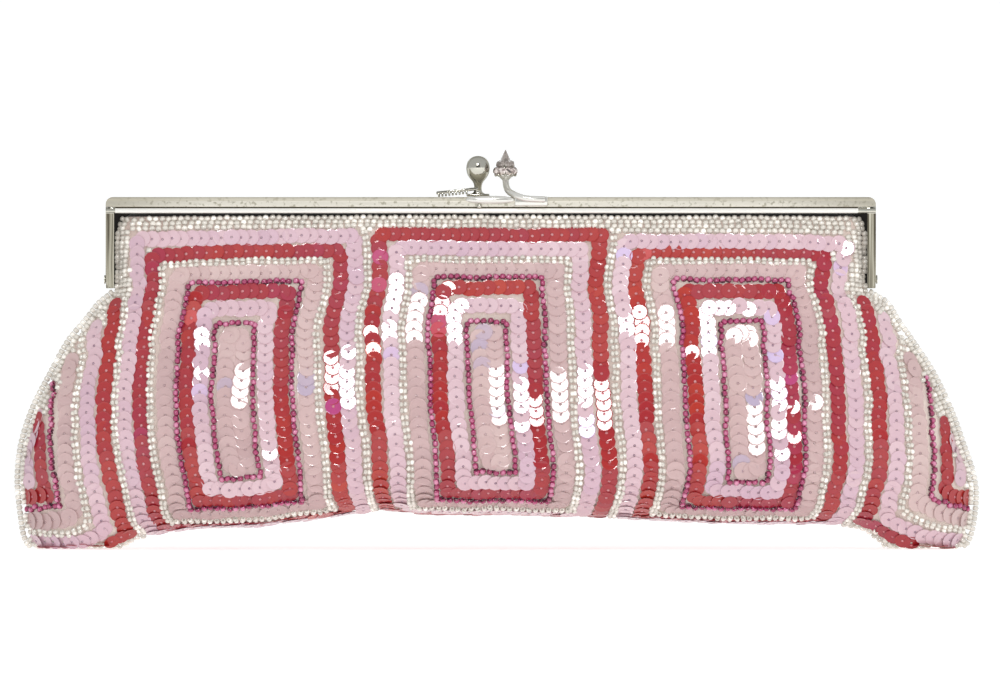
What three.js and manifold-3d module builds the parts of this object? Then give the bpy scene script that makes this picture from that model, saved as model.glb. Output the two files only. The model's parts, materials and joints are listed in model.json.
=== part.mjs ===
// Sequin clutch: a soft crescent pouch held in a hinged metal frame that closes with two crossing knobs.
// Millimetres, +Z up, front towards -Y. The origin is on the floor under the middle of the whole bag.
import * as THREE from 'three';
import { mergeVertices } from 'three/addons/utils/BufferGeometryUtils.js';
import Module from 'manifold-3d';

const wasm = await Module();
wasm.setup();

// Gaps
const clearance = 0.3;          // between pieces that touch on the real bag
const halfGap = clearance / 2;  // each half of the bag stops this far from the middle plane

// Frame
const frameWidth = 228.3;
const frameTop = 104.4;         // height of the bar's top face over the floor
const frameDrop = 27;           // bar's top face down to the arms' lower ends
const frameHalfDepth = 6.35;    // middle plane to the flat front band
const sheet = 1;                // metal thickness
const bandHeight = 2.9;         // flat band along the top of the bar
const grooveHeight = 0.4;
const grooveDepth = 0.3;
const rollRadius = 0.75;        // polished roll under the groove
const armWidth = 2.5;           // arms seen from the front
const cornerRadius = 2.2;
const channelEndRoom = 6;       // from the cloth's round corner to the end of the channel's inner wall
const topChamfer = 0.5;
const rootDepth = 0.5;          // how far pieces that make one solid run into each other
const cutRoom = 3;              // how far a cutter stands out past what it cuts

// Hinge at the arms' lower ends
const pinRadius = 0.8;
const pinHeadRadius = 1.3;
const pinHeadHeight = 0.4;
const earRadius = 2.6;
const earWall = 1;
const earSides = 20;
const pinSides = 12;

// Pouch
const panelWall = 2.2;          // cloth with its beading
const pouchHalfDepth = 25;
const leftReach = 27.6;         // how far each wing stands out past the frame
const rightReach = 31;
const bottomArch = 10.4;        // rise of the bottom edge between the wings
const restDepth = 4.5;          // how far a wing's foot is pressed flat on the floor
const edgingDiameter = 1.9;     // string of beads along each side seam
const clothCorner = 4.4;        // round corner of the cloth under each end of the bar
const shoulderDrop = 5;         // under the arms, the height in which the cloth turns out to its edging
const edgingFootGap = 4;        // the edging stops this many diameters over the floor
const edgingSteps = 14;
const rimSquareness = 24;       // how square the pouch is, seen from above, at the rim
const bellySquareness = 3;      // and in its full part
const bellyStart = 0.4;         // where the full part starts, as a share of the way down
const sideFullness = 0.6;       // lower is fuller towards the side seams
const valleyFade = 0.3;         // share of the way down in which a valley deepens
const footInner = 0.82;         // a foot starts to be pressed here, as a share of the half width,
const footOuter = 0.94;         // and is fully pressed here
const footFade = 0.08;          // share of the way down in which the pressing grows

// Clasp, front arm with the stones
const crystalOffset = 4.4;      // from the frame's middle, along the bar
const crystalWidth = 7.4;
const crystalHeight = 8;
const crystalFoot = 6.1;        // underside of the stones over the bar's top face
const cupRadius = 2.5;
const cupHeight = 1.5;
const stemRadius = 1.05;
const plateThickness = 0.9;
const plateStart = 2.3;         // from under the stones to the plate's near end
const frontPlateLength = 10;
const frontPlateHeight = 2.7;
const plateCorner = 0.5;
const padHeight = 1.9;
const padStart = -7.4;          // from the frame's middle
const padEnd = 0.49;            // roundness of the pad's ends as a share of its height
const rivetRadius = 0.8;
const rivetHeight = 0.6;
const rivetOffset = -3.4;
const turnedSides = 14;
const stemSteps = 12;

// Clasp, back arm with the plain knob
const ballOffset = -3.9;
const ballWidth = 6.8;
const ballHeight = 7.2;
const ballCentreHeight = 8.6;   // over the bar's top face
const ballEgg = 0.08;           // how much narrower than an ellipse the knob is at its waist
const postRadius = 1.1;
const postFoot = 2;
const baseLength = 6.8;
const baseWidth = 4.8;
const leafLength = 12.2;
const leafWidth = 4.4;
const leafLift = 0.7;           // underside of the leaf's tip over the base's seat
const leafRise = 1.1;           // the leaf climbs this much towards the knob
const ridgeCount = 5;
const ridgeWidth = 0.8;
const ridgeHeight = 0.5;
const ridgesClear = 1.5;        // this many ridges' room is left plain next to the knob
const knobSides = 18;
const knobRings = 12;

// Places that follow from the sizes
const frameMiddle = (leftReach - rightReach) / 2;
const frameHalf = frameWidth / 2;
const armEnd = frameTop - frameDrop;
const barBottom = frameTop - bandHeight - grooveHeight - 2 * rollRadius;
const rim = frameTop - sheet - clearance;
const rimHalfDepth = frameHalfDepth - sheet - clearance;
const hingeHeight = armEnd + earRadius;
const edgingSpace = edgingDiameter + 2 * clearance;   // the cloth's edge faces its edging in short straight runs

// Side outline under the arms: down = share of the height from the arms' ends to the floor,
// left and right = shares of each wing's reach
const sideOutline = [
  { down: 0.00, left: 0.02, right: 0.04 },
  { down: 0.06, left: 0.14, right: 0.17 },
  { down: 0.12, left: 0.27, right: 0.26 },
  { down: 0.20, left: 0.46, right: 0.40 },
  { down: 0.32, left: 0.65, right: 0.60 },
  { down: 0.45, left: 0.84, right: 0.76 },
  { down: 0.58, left: 0.96, right: 0.88 },
  { down: 0.70, left: 1.00, right: 0.98 },
  { down: 0.80, left: 0.98, right: 1.00 },
  { down: 0.90, left: 0.88, right: 0.90 },
  { down: 1.00, left: 0.58, right: 0.62 },
];

// Bottom edge: across = share of the half width from the middle to a foot,
// rise = share of the arch. The feet are pressed under zero and end flat on the floor.
const bottomEdge = [
  { across: -1.00, rise: -0.19 },
  { across: -0.90, rise: -0.10 },
  { across: -0.82, rise: 0.24 },
  { across: -0.70, rise: 0.49 },
  { across: -0.54, rise: 0.57 },
  { across: -0.40, rise: 0.79 },
  { across: -0.27, rise: 1.00 },
  { across: -0.15, rise: 0.89 },
  { across: 0.00, rise: 0.87 },
  { across: 0.30, rise: 0.77 },
  { across: 0.54, rise: 0.65 },
  { across: 0.72, rise: 0.63 },
  { across: 0.84, rise: 0.52 },
  { across: 0.92, rise: 0.12 },
  { across: 1.00, rise: -0.19 },
];

// Fullness down the middle: down = share from the bar's lower edge to the bottom,
// depth = share of the half depth. Below the last row the pouch rounds under to the bottom seam.
const fullness = [
  { down: 0.00, depth: 0.00 },
  { down: 0.10, depth: 0.16 },
  { down: 0.26, depth: 0.46 },
  { down: 0.48, depth: 0.80 },
  { down: 0.67, depth: 0.97 },
  { down: 0.82, depth: 1.00 },
];
const lipLength = rim - barBottom + 1;   // cloth held in the channel, and a little under it
const lip = lipLength / rim;
const underStart = lip + (1 - lip) * fullness[fullness.length - 1].down;

// Soft valleys: across = place as a share of the half width, wide = half width of the dent,
// dent = share of the half depth, from = where it starts on the way down
const valleys = [
  { across: -0.79, wide: 0.07, dent: 0.10, from: 0.25 },
  { across: 0.79, wide: 0.06, dent: 0.09, from: 0.22 },
  { across: -0.34, wide: 0.10, dent: 0.03, from: 0.30 },
  { across: 0.36, wide: 0.10, dent: 0.03, from: 0.30 },
];

// Middle line of the front arm's stem: along = share of the plate's start past the stones,
// forward = share of the way from the middle plane to the band, up = share of the way from the bar to the cup
const stemRoute = [
  { along: 2.45, forward: 1.07, up: -0.27 },
  { along: 1.17, forward: 1.05, up: 0.17 },
  { along: 0.35, forward: 0.62, up: 0.54 },
  { along: 0.00, forward: 0.22, up: 0.88 },
  { along: 0.00, forward: 0.00, up: 1.15 },
];

// Section of the cluster of stones, as shares of its half width and of its height
const crystalProfile = [
  [0, 0], [0.62, 0], [0.95, 0.14], [1, 0.26], [0.9, 0.42], [0.62, 0.62], [0.28, 0.84], [0, 1],
];

// Section of the cup under them, as shares of its radius and height
const cupProfile = [[0, 0], [0.42, 0], [1, 0.7], [1, 1], [0, 1]];

// Section of the rivet's head, as shares of its radius and height
const rivetProfile = [[0, 0], [1, 0], [0.8, 0.6], [0.4, 0.9], [0, 1]];

// Section of the post under the plain knob: share of its own radius, from foot to neck, and of its height
const postProfile = [{ wide: postFoot, up: 0 }, { wide: postRadius, up: 0.4 }, { wide: postRadius, up: 0.85 }];

// Grid of a panel
const cellsAcross = 34;
const cellsNeck = 3;            // from the channel down to the arms' ends
const cellsShoulder = 2;        // where the cloth turns out to its edging
const cellsDown = 7;            // from there to the fullest part
const cellsUnder = 6;

// Colours
const finishes = {
  nickel: { color: 0xc9c7bd, roughness: 0.22, metalness: 1 },
  crystal: { color: 0xd9c4c2, roughness: 0.08, metalness: 0.1 },
  sequins: { color: 0xd58fa8, roughness: 0.35, metalness: 0 },
  clearBeads: { color: 0xe6e2d6, roughness: 0.2, metalness: 0 },
};

// Smooth reading of a table's column between its rows
function readTable(table, key, column, at) {
  const last = table.length - 1;
  if (at <= table[0][key]) return table[0][column];
  if (at >= table[last][key]) return table[last][column];
  let i = 0;
  while (at > table[i + 1][key]) i += 1;
  const slope = (k) => {
    const before = table[Math.max(k - 1, 0)];
    const after = table[Math.min(k + 1, last)];
    return (after[column] - before[column]) / (after[key] - before[key]);
  };
  const [a, b] = [table[i], table[i + 1]];
  const span = b[key] - a[key];
  const t = (at - a[key]) / span;
  const ease = t * t * (3 - 2 * t);
  const startPull = t * (1 - t) * (1 - t) * slope(i) * span;
  const endPull = -t * t * (1 - t) * slope(i + 1) * span;
  return a[column] + (b[column] - a[column]) * ease + startPull + endPull;
}

function smoothStep(low, high, value) {
  const t = THREE.MathUtils.clamp((value - low) / (high - low), 0, 1);
  return t * t * (3 - 2 * t);
}

// Outer outline of the bag, with its edging, at a height. side is -1 on the left and 1 on the right.
function outlineAt(side, height) {
  const column = side < 0 ? 'left' : 'right';
  const reach = side < 0 ? leftReach : rightReach;
  const share = readTable(sideOutline, 'down', column, (armEnd - height) / armEnd);
  return frameMiddle + side * (frameHalf + reach * share);
}

// The cloth's side edge: inside the arms, with a round corner under the bar, and inside the edging below them
function clothEdgeAt(side, height) {
  const turn = THREE.MathUtils.clamp((height - barBottom) / clothCorner + 1, 0, 1);
  const cornerInset = clothCorner * (1 - Math.sqrt(1 - turn * turn));
  const inArms = frameMiddle + side * (frameHalf - armWidth - 2 * clearance - cornerInset);
  const inEdging = outlineAt(side, height) - side * edgingSpace;
  return THREE.MathUtils.lerp(inEdging, inArms, smoothStep(armEnd - shoulderDrop, armEnd, height));
}

// A point on the pouch. across runs from -1 to 1, down from 0 at the rim to 1 at the bottom seam,
// and inset moves the surface inwards for the cloth's inner face.
function pouchPoint(across, down, inset) {
  const arch = bottomArch * readTable(bottomEdge, 'across', 'rise', across);
  const foot = arch + inset;
  const sideHeight = THREE.MathUtils.lerp(rim, inset, down);
  const height = THREE.MathUtils.lerp(rim, foot, down);
  const left = clothEdgeAt(-1, sideHeight) + inset;
  const right = clothEdgeAt(1, sideHeight) - inset;
  const x = THREE.MathUtils.lerp(left, right, (across + 1) / 2);

  const under = THREE.MathUtils.clamp((down - underStart) / (1 - underStart), 0, 1);
  const share = readTable(fullness, 'down', 'depth', (down - lip) / (1 - lip));
  const bulge = (pouchHalfDepth - rimHalfDepth) * share;
  const full = (rimHalfDepth + bulge - inset) * Math.sqrt(1 - under * under);
  const squareness = THREE.MathUtils.lerp(rimSquareness, bellySquareness, smoothStep(0, bellyStart, down));
  const round = Math.pow(Math.max(0, 1 - Math.pow(Math.abs(across), squareness)), sideFullness);
  let dent = 0;
  for (const valley of valleys) {
    const off = (across - valley.across) / valley.wide;
    const inRange = smoothStep(valley.from, valley.from + valleyFade, down);
    dent += valley.dent * Math.exp(-off * off) * inRange;
  }
  const depth = full * round * (1 - dent);
  const pressed = height - restDepth * footShare(across, down);
  return new THREE.Vector3(x, -(halfGap + depth), Math.max(pressed, inset));
}

// Share of the foot's pressing at a place: only the wings' lowest stretch is pressed on the floor
function footShare(across, down) {
  const outwards = smoothStep(footInner, footOuter, Math.abs(across));
  return outwards * smoothStep(underStart, underStart + footFade, down);
}

// A closed wall between the pouch's outer and inner faces, for the front half
function panelGeometry(facing) {
  const rows = [0];
  const neckEnd = 1 - armEnd / rim;
  const shoulderEnd = neckEnd + shoulderDrop / rim;
  for (const [from, to, cells] of [
    [lip, neckEnd, cellsNeck], [neckEnd, shoulderEnd, cellsShoulder], [shoulderEnd, underStart, cellsDown],
  ]) {
    for (let j = 0; j < cells; j += 1) rows.push(THREE.MathUtils.lerp(from, to, j / cells));
  }
  for (let j = 0; j <= cellsUnder; j += 1) {
    rows.push(underStart + (1 - underStart) * Math.sin(Math.PI / 2 * j / cellsUnder));
  }
  const columns = [];
  for (let i = 0; i <= cellsAcross; i += 1) {
    columns.push(Math.sin(Math.PI / 2 * (2 * i / cellsAcross - 1)));
  }
  const positions = [];
  for (const inset of [0, panelWall]) {
    for (const down of rows) {
      for (const across of columns) {
        const p = pouchPoint(across, down, inset);
        positions.push(p.x, p.y * facing, p.z);
      }
    }
  }
  const wide = columns.length;
  const sheetSize = wide * rows.length;
  const at = (layer, row, column) => layer * sheetSize + row * wide + column;
  const triangles = [];
  const quad = (a, b, c, d) => {
    if (facing > 0) triangles.push(a, b, c, a, c, d);
    else triangles.push(a, c, b, a, d, c);
  };
  const lastRow = rows.length - 1;
  const lastColumn = wide - 1;
  for (let j = 0; j < lastRow; j += 1) {
    for (let i = 0; i < lastColumn; i += 1) {
      quad(at(0, j + 1, i), at(0, j + 1, i + 1), at(0, j, i + 1), at(0, j, i));
      quad(at(1, j, i), at(1, j, i + 1), at(1, j + 1, i + 1), at(1, j + 1, i));
    }
    quad(at(0, j, 0), at(1, j, 0), at(1, j + 1, 0), at(0, j + 1, 0));
    quad(at(1, j, lastColumn), at(0, j, lastColumn), at(0, j + 1, lastColumn), at(1, j + 1, lastColumn));
  }
  for (let i = 0; i < lastColumn; i += 1) {
    quad(at(0, 0, i), at(0, 0, i + 1), at(1, 0, i + 1), at(1, 0, i));
    quad(at(1, lastRow, i), at(1, lastRow, i + 1), at(0, lastRow, i + 1), at(0, lastRow, i));
  }
  const geometry = new THREE.BufferGeometry();
  geometry.setAttribute('position', new THREE.Float32BufferAttribute(positions, 3));
  geometry.setIndex(triangles);
  return geometry;
}

// Solid from a geometry, for cutting and joining
function solidOf(geometry) {
  const bare = geometry.clone();
  for (const name of Object.keys(bare.attributes)) {
    if (name !== 'position') bare.deleteAttribute(name);
  }
  const merged = mergeVertices(bare, 1e-5);
  return new wasm.Manifold(new wasm.Mesh({
    numProp: 3,
    vertProperties: new Float32Array(merged.attributes.position.array),
    triVerts: new Uint32Array(merged.index.array),
  }));
}

function geometryOf(solid) {
  const result = solid.getMesh();
  const geometry = new THREE.BufferGeometry();
  geometry.setAttribute('position', new THREE.BufferAttribute(result.vertProperties, 3));
  geometry.setIndex(new THREE.BufferAttribute(result.triVerts, 1));
  return geometry;
}

function joined(geometries) {
  return geometries.map(solidOf).reduce((sum, solid) => sum.add(solid));
}

function box(low, high) {
  const size = high.map((value, k) => value - low[k]);
  const geometry = new THREE.BoxGeometry(...size);
  geometry.translate(...low.map((value, k) => value + size[k] / 2));
  return geometry;
}

// Round bar along X between two places
function barAlongX(radius, from, to, y, z, sides) {
  const geometry = new THREE.CylinderGeometry(radius, radius, to - from, sides);
  geometry.rotateZ(Math.PI / 2);
  geometry.translate((from + to) / 2, y, z);
  return geometry;
}

// A flat outline of X and Z points given thickness along Y
function plateAlongY(shape, from, to) {
  const geometry = new THREE.ExtrudeGeometry(shape, { depth: to - from, bevelEnabled: false, curveSegments: 6 });
  geometry.rotateX(Math.PI / 2);
  geometry.translate(0, to, 0);
  return geometry;
}

function roundedRectangle(left, bottom, right, top, radius) {
  const shape = new THREE.Shape();
  shape.moveTo(left + radius, bottom);
  shape.lineTo(right - radius, bottom);
  shape.absarc(right - radius, bottom + radius, radius, -Math.PI / 2, 0, false);
  shape.lineTo(right, top - radius);
  shape.absarc(right - radius, top - radius, radius, 0, Math.PI / 2, false);
  shape.lineTo(left + radius, top);
  shape.absarc(left + radius, top - radius, radius, Math.PI / 2, Math.PI, false);
  shape.lineTo(left, bottom + radius);
  shape.absarc(left + radius, bottom + radius, radius, Math.PI, Math.PI * 1.5, false);
  return shape;
}

// Section of the bar's front half as Y and Z: the band, the groove, the roll and the channel for the cloth
function barSection() {
  const front = -frameHalfDepth;
  const back = -halfGap;
  const grooveTop = frameTop - bandHeight;
  const rollCentre = grooveTop - grooveHeight - rollRadius;
  const channelTop = frameTop - sheet;
  const shape = new THREE.Shape();
  shape.moveTo(back, frameTop);
  shape.lineTo(front + topChamfer, frameTop);
  shape.lineTo(front, frameTop - topChamfer);
  shape.lineTo(front, grooveTop);
  shape.lineTo(front + grooveDepth, grooveTop - grooveHeight / 2);
  shape.lineTo(front + grooveDepth, grooveTop - grooveHeight);
  shape.absarc(front + grooveDepth, rollCentre, rollRadius, Math.PI / 2, Math.PI * 1.5, false);
  shape.lineTo(front + sheet, barBottom);
  shape.lineTo(front + sheet, channelTop);
  shape.lineTo(back - sheet, channelTop);
  shape.lineTo(back - sheet, barBottom);
  shape.lineTo(back, barBottom);
  return shape;
}

// One half of the frame, built as the front one: a bar with an arm at each end and a hinge ear on each arm.
// The front half's ears lie outside, the back half's inside.
function frameHalfSolid(earsOutside) {
  const left = frameMiddle - frameHalf;
  const right = frameMiddle + frameHalf;
  const bar = new THREE.ExtrudeGeometry(barSection(), {
    depth: frameWidth, bevelEnabled: false, curveSegments: 5,
  });
  // the section's Y and Z, extruded along Z, are turned to lie across X
  bar.applyMatrix4(new THREE.Matrix4().set(
    0, 0, 1, left,
    1, 0, 0, 0,
    0, 1, 0, 0,
    0, 0, 0, 1,
  ));
  const pieces = [bar];
  const channelTop = frameTop - sheet;
  for (const side of [-1, 1]) {
    const outer = side < 0 ? left : right;
    const wallIn = outer - side * sheet;
    const frontIn = outer - side * armWidth;
    const span = (a, b) => [Math.min(a, b), Math.max(a, b)];
    const [w0, w1] = span(outer, wallIn);
    const [f0, f1] = span(outer, frontIn);
    pieces.push(box([w0, -frameHalfDepth, armEnd], [w1, -halfGap, channelTop + sheet / 2]));
    pieces.push(box([f0, -frameHalfDepth, armEnd], [f1, -frameHalfDepth + sheet, channelTop + sheet / 2]));
  }
  const silhouette = roundedRectangle(left, armEnd, right, frameTop, cornerRadius);
  const trimmed = joined(pieces).intersect(solidOf(plateAlongY(silhouette, -2 * frameHalfDepth, 0)));
  let half = trimmed;
  for (const side of [-1, 1]) {
    const outer = frameMiddle + side * frameHalf;
    // the channel's inner wall stops short of the arms, where the cloth's corner turns in
    const wallEnd = outer - side * (armWidth + clothCorner + channelEndRoom);
    const corner = box(
      [Math.min(wallEnd, outer - side * sheet), -halfGap - sheet - clearance, armEnd],
      [Math.max(wallEnd, outer - side * sheet), cutRoom, channelTop],
    );
    half = half.subtract(solidOf(corner));
    const outsideEar = [outer, outer - side * earWall];
    const insideEar = outsideEar.map((x) => x - side * (earWall + clearance));
    const [own, other] = earsOutside ? [outsideEar, insideEar] : [insideEar, outsideEar];
    const [o0, o1] = [Math.min(...own), Math.max(...own)];
    const [r0, r1] = [Math.min(...other) - clearance, Math.max(...other) + clearance];
    const reach = earRadius + clearance;
    half = half.subtract(solidOf(barAlongX(reach, r0, r1, 0, hingeHeight, earSides)));
    const neckDepth = reach + sheet;
    const neck = box([o0, -neckDepth, hingeHeight - earRadius], [o1, -rootDepth, hingeHeight + earRadius]);
    const link = box(
      [Math.min(o0, outer, outer - side * sheet), -neckDepth, hingeHeight - earRadius],
      [Math.max(o1, outer, outer - side * sheet), -reach, hingeHeight + earRadius],
    );
    half = half.add(joined([barAlongX(earRadius, o0, o1, 0, hingeHeight, earSides), neck, link]));
    const hole = barAlongX(pinRadius + clearance, r0 - cutRoom, r1 + cutRoom, 0, hingeHeight, pinSides);
    half = half.subtract(solidOf(hole));
  }
  return half;
}

function hingePinGeometry(side) {
  const outer = frameMiddle + side * frameHalf;
  const inner = outer - side * (2 * earWall + clearance);
  const headInner = outer + side * clearance;
  const headOuter = headInner + side * pinHeadHeight;
  const ordered = (a, b) => [Math.min(a, b), Math.max(a, b)];
  const shaft = barAlongX(pinRadius, ...ordered(inner, (headInner + headOuter) / 2), 0, hingeHeight, pinSides);
  const head = barAlongX(pinHeadRadius, ...ordered(headInner, headOuter), 0, hingeHeight, pinSides + 4);
  return geometryOf(joined([shaft, head]));
}

// Lathe around a standing axis, profile as radius and height pairs
function turned(profile, sides) {
  const geometry = new THREE.LatheGeometry(profile.map(([r, h]) => new THREE.Vector2(r, h)), sides);
  geometry.rotateX(Math.PI / 2);
  return geometry;
}

// Round bar along a smooth path
function stemAlong(points, radius) {
  const section = new THREE.Shape();
  section.absarc(0, 0, radius, 0, Math.PI * 2, false);
  return new THREE.ExtrudeGeometry(section, {
    extrudePath: new THREE.CatmullRomCurve3(points), steps: stemSteps, curveSegments: 4, bevelEnabled: false,
  });
}

// The front arm: a plate on the band, an oval pad, a stem that curves up to the middle and a cup for the stones
function frontClaspGeometry() {
  const face = -frameHalfDepth - clearance;
  const plateTop = frameTop + clearance;
  const stoneX = frameMiddle + crystalOffset;
  const cupFoot = frameTop + crystalFoot - clearance - cupHeight;
  const plateLeft = stoneX + plateStart;
  const plate = plateAlongY(
    roundedRectangle(plateLeft, plateTop - frontPlateHeight, plateLeft + frontPlateLength, plateTop, plateCorner),
    face - plateThickness, face,
  );
  const pad = plateAlongY(
    roundedRectangle(
      frameMiddle + padStart, plateTop - padHeight, plateLeft + 2 * rootDepth, plateTop, padEnd * padHeight,
    ),
    face - plateThickness / 2, face,
  );
  const stem = stemAlong(stemRoute.map((row) => new THREE.Vector3(
    stoneX + row.along * plateStart,
    face * row.forward,
    THREE.MathUtils.lerp(plateTop, cupFoot, row.up),
  )), stemRadius);
  const overBar = box([stoneX - cutRoom, face, barBottom], [plateLeft + frontPlateLength, 0, plateTop]);
  const cup = turned(cupProfile.map(([out, up]) => [out * cupRadius, up * cupHeight]), turnedSides);
  cup.translate(stoneX, 0, cupFoot);
  return geometryOf(joined([plate, pad, cup]).add(solidOf(stem).subtract(solidOf(overBar))));
}

// The pointed cluster of stones on the front arm
function crystalGeometry() {
  const profile = crystalProfile.map(([out, up]) => [out * crystalWidth / 2, up * crystalHeight]);
  const cluster = turned(profile, turnedSides);
  cluster.translate(frameMiddle + crystalOffset, 0, frameTop + crystalFoot);
  return cluster;
}

// The back arm: a base on the bar's top face, a leaf with ridges under it, and a post with a plain knob
function backClaspGeometry() {
  const seat = frameTop + clearance;
  const knobX = frameMiddle + ballOffset;
  const baseY = frameHalfDepth / 2;
  const lean = Math.atan2(baseY, ballCentreHeight);
  const postHeight = ballCentreHeight / Math.cos(lean) - ballHeight / 2;
  const profile = [[0, 0], ...postProfile.map((row) => [row.wide, row.up * postHeight])];
  for (let k = 2; k < knobRings; k += 1) {
    const angle = Math.PI * k / knobRings;
    const egg = 1 + ballEgg * Math.cos(2 * angle);
    profile.push([ballWidth / 2 * Math.sin(angle) * egg, postHeight + ballHeight / 2 * (1 - Math.cos(angle))]);
  }
  profile.push([0, postHeight + ballHeight]);
  const knob = turned(profile, knobSides);
  knob.rotateX(lean);
  knob.translate(knobX, baseY, seat);
  const base = box(
    [knobX - baseLength / 2, baseY - baseWidth / 2, seat],
    [knobX + baseLength / 2, baseY + baseWidth / 2, seat + plateThickness],
  );
  const underside = (along) => seat + leafLift + leafRise * along;
  const leafOutline = new THREE.Shape();
  leafOutline.moveTo(knobX, underside(1));
  leafOutline.lineTo(knobX, underside(1) + plateThickness);
  leafOutline.lineTo(knobX - leafLength, underside(0) + plateThickness);
  leafOutline.lineTo(knobX - leafLength, underside(0));
  const leaf = plateAlongY(leafOutline, baseY - leafWidth / 2, baseY + leafWidth / 2);
  const ridges = [];
  for (let k = 0; k < ridgeCount; k += 1) {
    const along = (k + 0.5) / (ridgeCount + ridgesClear);
    const x = knobX - leafLength * (1 - along);
    ridges.push(box(
      [x, baseY - leafWidth / 2, underside(along) - ridgeHeight],
      [x + ridgeWidth, baseY + leafWidth / 2, underside(along) + plateThickness / 2],
    ));
  }
  const belowSeat = box(
    [knobX - baseLength, baseY - baseWidth, barBottom], [knobX + baseLength, baseY + baseWidth, seat],
  );
  return geometryOf(joined([knob, base, leaf, ...ridges]).subtract(solidOf(belowSeat)));
}

// Round head under the oval pad
function rivetGeometry() {
  const dome = turned(rivetProfile.map(([out, up]) => [out * rivetRadius, up * rivetHeight]), turnedSides);
  dome.rotateX(Math.PI / 2);
  const underPad = frameTop - padHeight - rivetRadius;
  dome.translate(frameMiddle + rivetOffset, -frameHalfDepth - clearance, underPad);
  return dome;
}

// String of beads along a side seam, from under the arm to the foot
function edgingGeometry(side) {
  const points = [];
  const start = 1 - (armEnd - edgingDiameter) / rim;
  const end = 1 - edgingFootGap * edgingDiameter / rim;
  const offset = edgingSpace - edgingDiameter / 2;
  for (let k = 0; k <= edgingSteps; k += 1) {
    const down = THREE.MathUtils.lerp(start, end, k / edgingSteps);
    const edge = pouchPoint(side, down, 0);
    const along = pouchPoint(side, down + 0.01, 0).sub(pouchPoint(side, down - 0.01, 0));
    const outward = new THREE.Vector3(-along.z, 0, along.x).normalize().multiplyScalar(side * offset);
    points.push(new THREE.Vector3(edge.x + outward.x, 0, edge.z + outward.z));
  }
  const section = new THREE.Shape();
  section.absarc(0, 0, edgingDiameter / 2, 0, Math.PI * 2, false);
  return new THREE.ExtrudeGeometry(section, {
    extrudePath: new THREE.CatmullRomCurve3(points), steps: 2 * edgingSteps, curveSegments: 4, bevelEnabled: false,
  });
}

const clutch = new THREE.Group();

function place(name, geometry, finish) {
  const mesh = new THREE.Mesh(geometry, new THREE.MeshStandardMaterial(finishes[finish]));
  mesh.name = name;
  clutch.add(mesh);
  return mesh;
}

place('front_panel', panelGeometry(1), 'sequins');
place('back_panel', panelGeometry(-1), 'sequins');
place('front_frame', geometryOf(frameHalfSolid(true)), 'nickel');
const backFrame = place('back_frame', geometryOf(frameHalfSolid(false)), 'nickel');
// the back half is the front one's twin, turned round to face the other way
backFrame.rotation.z = Math.PI;
backFrame.position.x = 2 * frameMiddle;
place('hinge_pin_left', hingePinGeometry(-1), 'nickel');
place('hinge_pin_right', hingePinGeometry(1), 'nickel');
place('front_clasp_arm', frontClaspGeometry(), 'nickel');
place('back_clasp_arm', backClaspGeometry(), 'nickel');
place('crystal_knob', crystalGeometry(), 'crystal');
place('clasp_rivet', rivetGeometry(), 'nickel');
place('side_edging_left', edgingGeometry(-1), 'clearBeads');
place('side_edging_right', edgingGeometry(1), 'clearBeads');

export default clutch;
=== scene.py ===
# Sequin clutch: the looks of a beaded pouch in a nickel frame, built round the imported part
import json
import math

import bpy
import numpy as np
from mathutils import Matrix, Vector

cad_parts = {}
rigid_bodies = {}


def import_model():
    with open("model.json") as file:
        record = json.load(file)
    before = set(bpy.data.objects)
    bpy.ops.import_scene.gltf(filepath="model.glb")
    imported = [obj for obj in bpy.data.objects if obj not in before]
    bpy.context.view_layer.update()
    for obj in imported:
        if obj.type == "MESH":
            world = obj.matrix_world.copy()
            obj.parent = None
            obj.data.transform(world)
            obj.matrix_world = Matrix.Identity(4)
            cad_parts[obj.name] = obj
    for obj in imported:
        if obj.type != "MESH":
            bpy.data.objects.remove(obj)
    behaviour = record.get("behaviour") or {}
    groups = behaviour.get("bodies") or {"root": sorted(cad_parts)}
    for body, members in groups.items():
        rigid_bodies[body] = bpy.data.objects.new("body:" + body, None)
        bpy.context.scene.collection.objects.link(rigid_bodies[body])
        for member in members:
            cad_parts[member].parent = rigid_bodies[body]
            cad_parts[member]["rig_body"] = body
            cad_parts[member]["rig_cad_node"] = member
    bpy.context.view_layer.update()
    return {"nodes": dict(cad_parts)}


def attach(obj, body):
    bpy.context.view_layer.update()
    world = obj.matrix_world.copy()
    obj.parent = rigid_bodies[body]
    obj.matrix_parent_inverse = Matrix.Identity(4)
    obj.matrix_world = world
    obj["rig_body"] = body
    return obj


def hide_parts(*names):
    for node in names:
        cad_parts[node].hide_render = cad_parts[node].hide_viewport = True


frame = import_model()
nodes = frame["nodes"]
mm = 0.001
dice = np.random.default_rng(11)
print("frame loaded:", len(nodes), "nodes")


# Small helpers
def link(thing):
    bpy.context.scene.collection.objects.link(thing)
    return thing


def pick(thing):
    if bpy.context.object and bpy.context.object.mode != "OBJECT":
        bpy.ops.object.mode_set(mode="OBJECT")
    bpy.ops.object.select_all(action="DESELECT")
    thing.select_set(True)
    bpy.context.view_layer.objects.active = thing
    return thing


def fresh(addPrimitive, **settings):  # a new primitive, with nothing else selected
    bpy.ops.object.select_all(action="DESELECT")
    addPrimitive(**settings)
    return bpy.context.object


def editAll(action="SELECT"):
    bpy.ops.object.mode_set(mode="EDIT")
    bpy.ops.mesh.select_all(action=action)


def editDone():
    bpy.ops.object.mode_set(mode="OBJECT")


def closeUp():  # the last step of an extruded piece: faces outwards
    bpy.ops.mesh.select_all(action="SELECT")
    bpy.ops.mesh.normals_make_consistent(inside=False)
    editDone()
    return bpy.context.object


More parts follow.
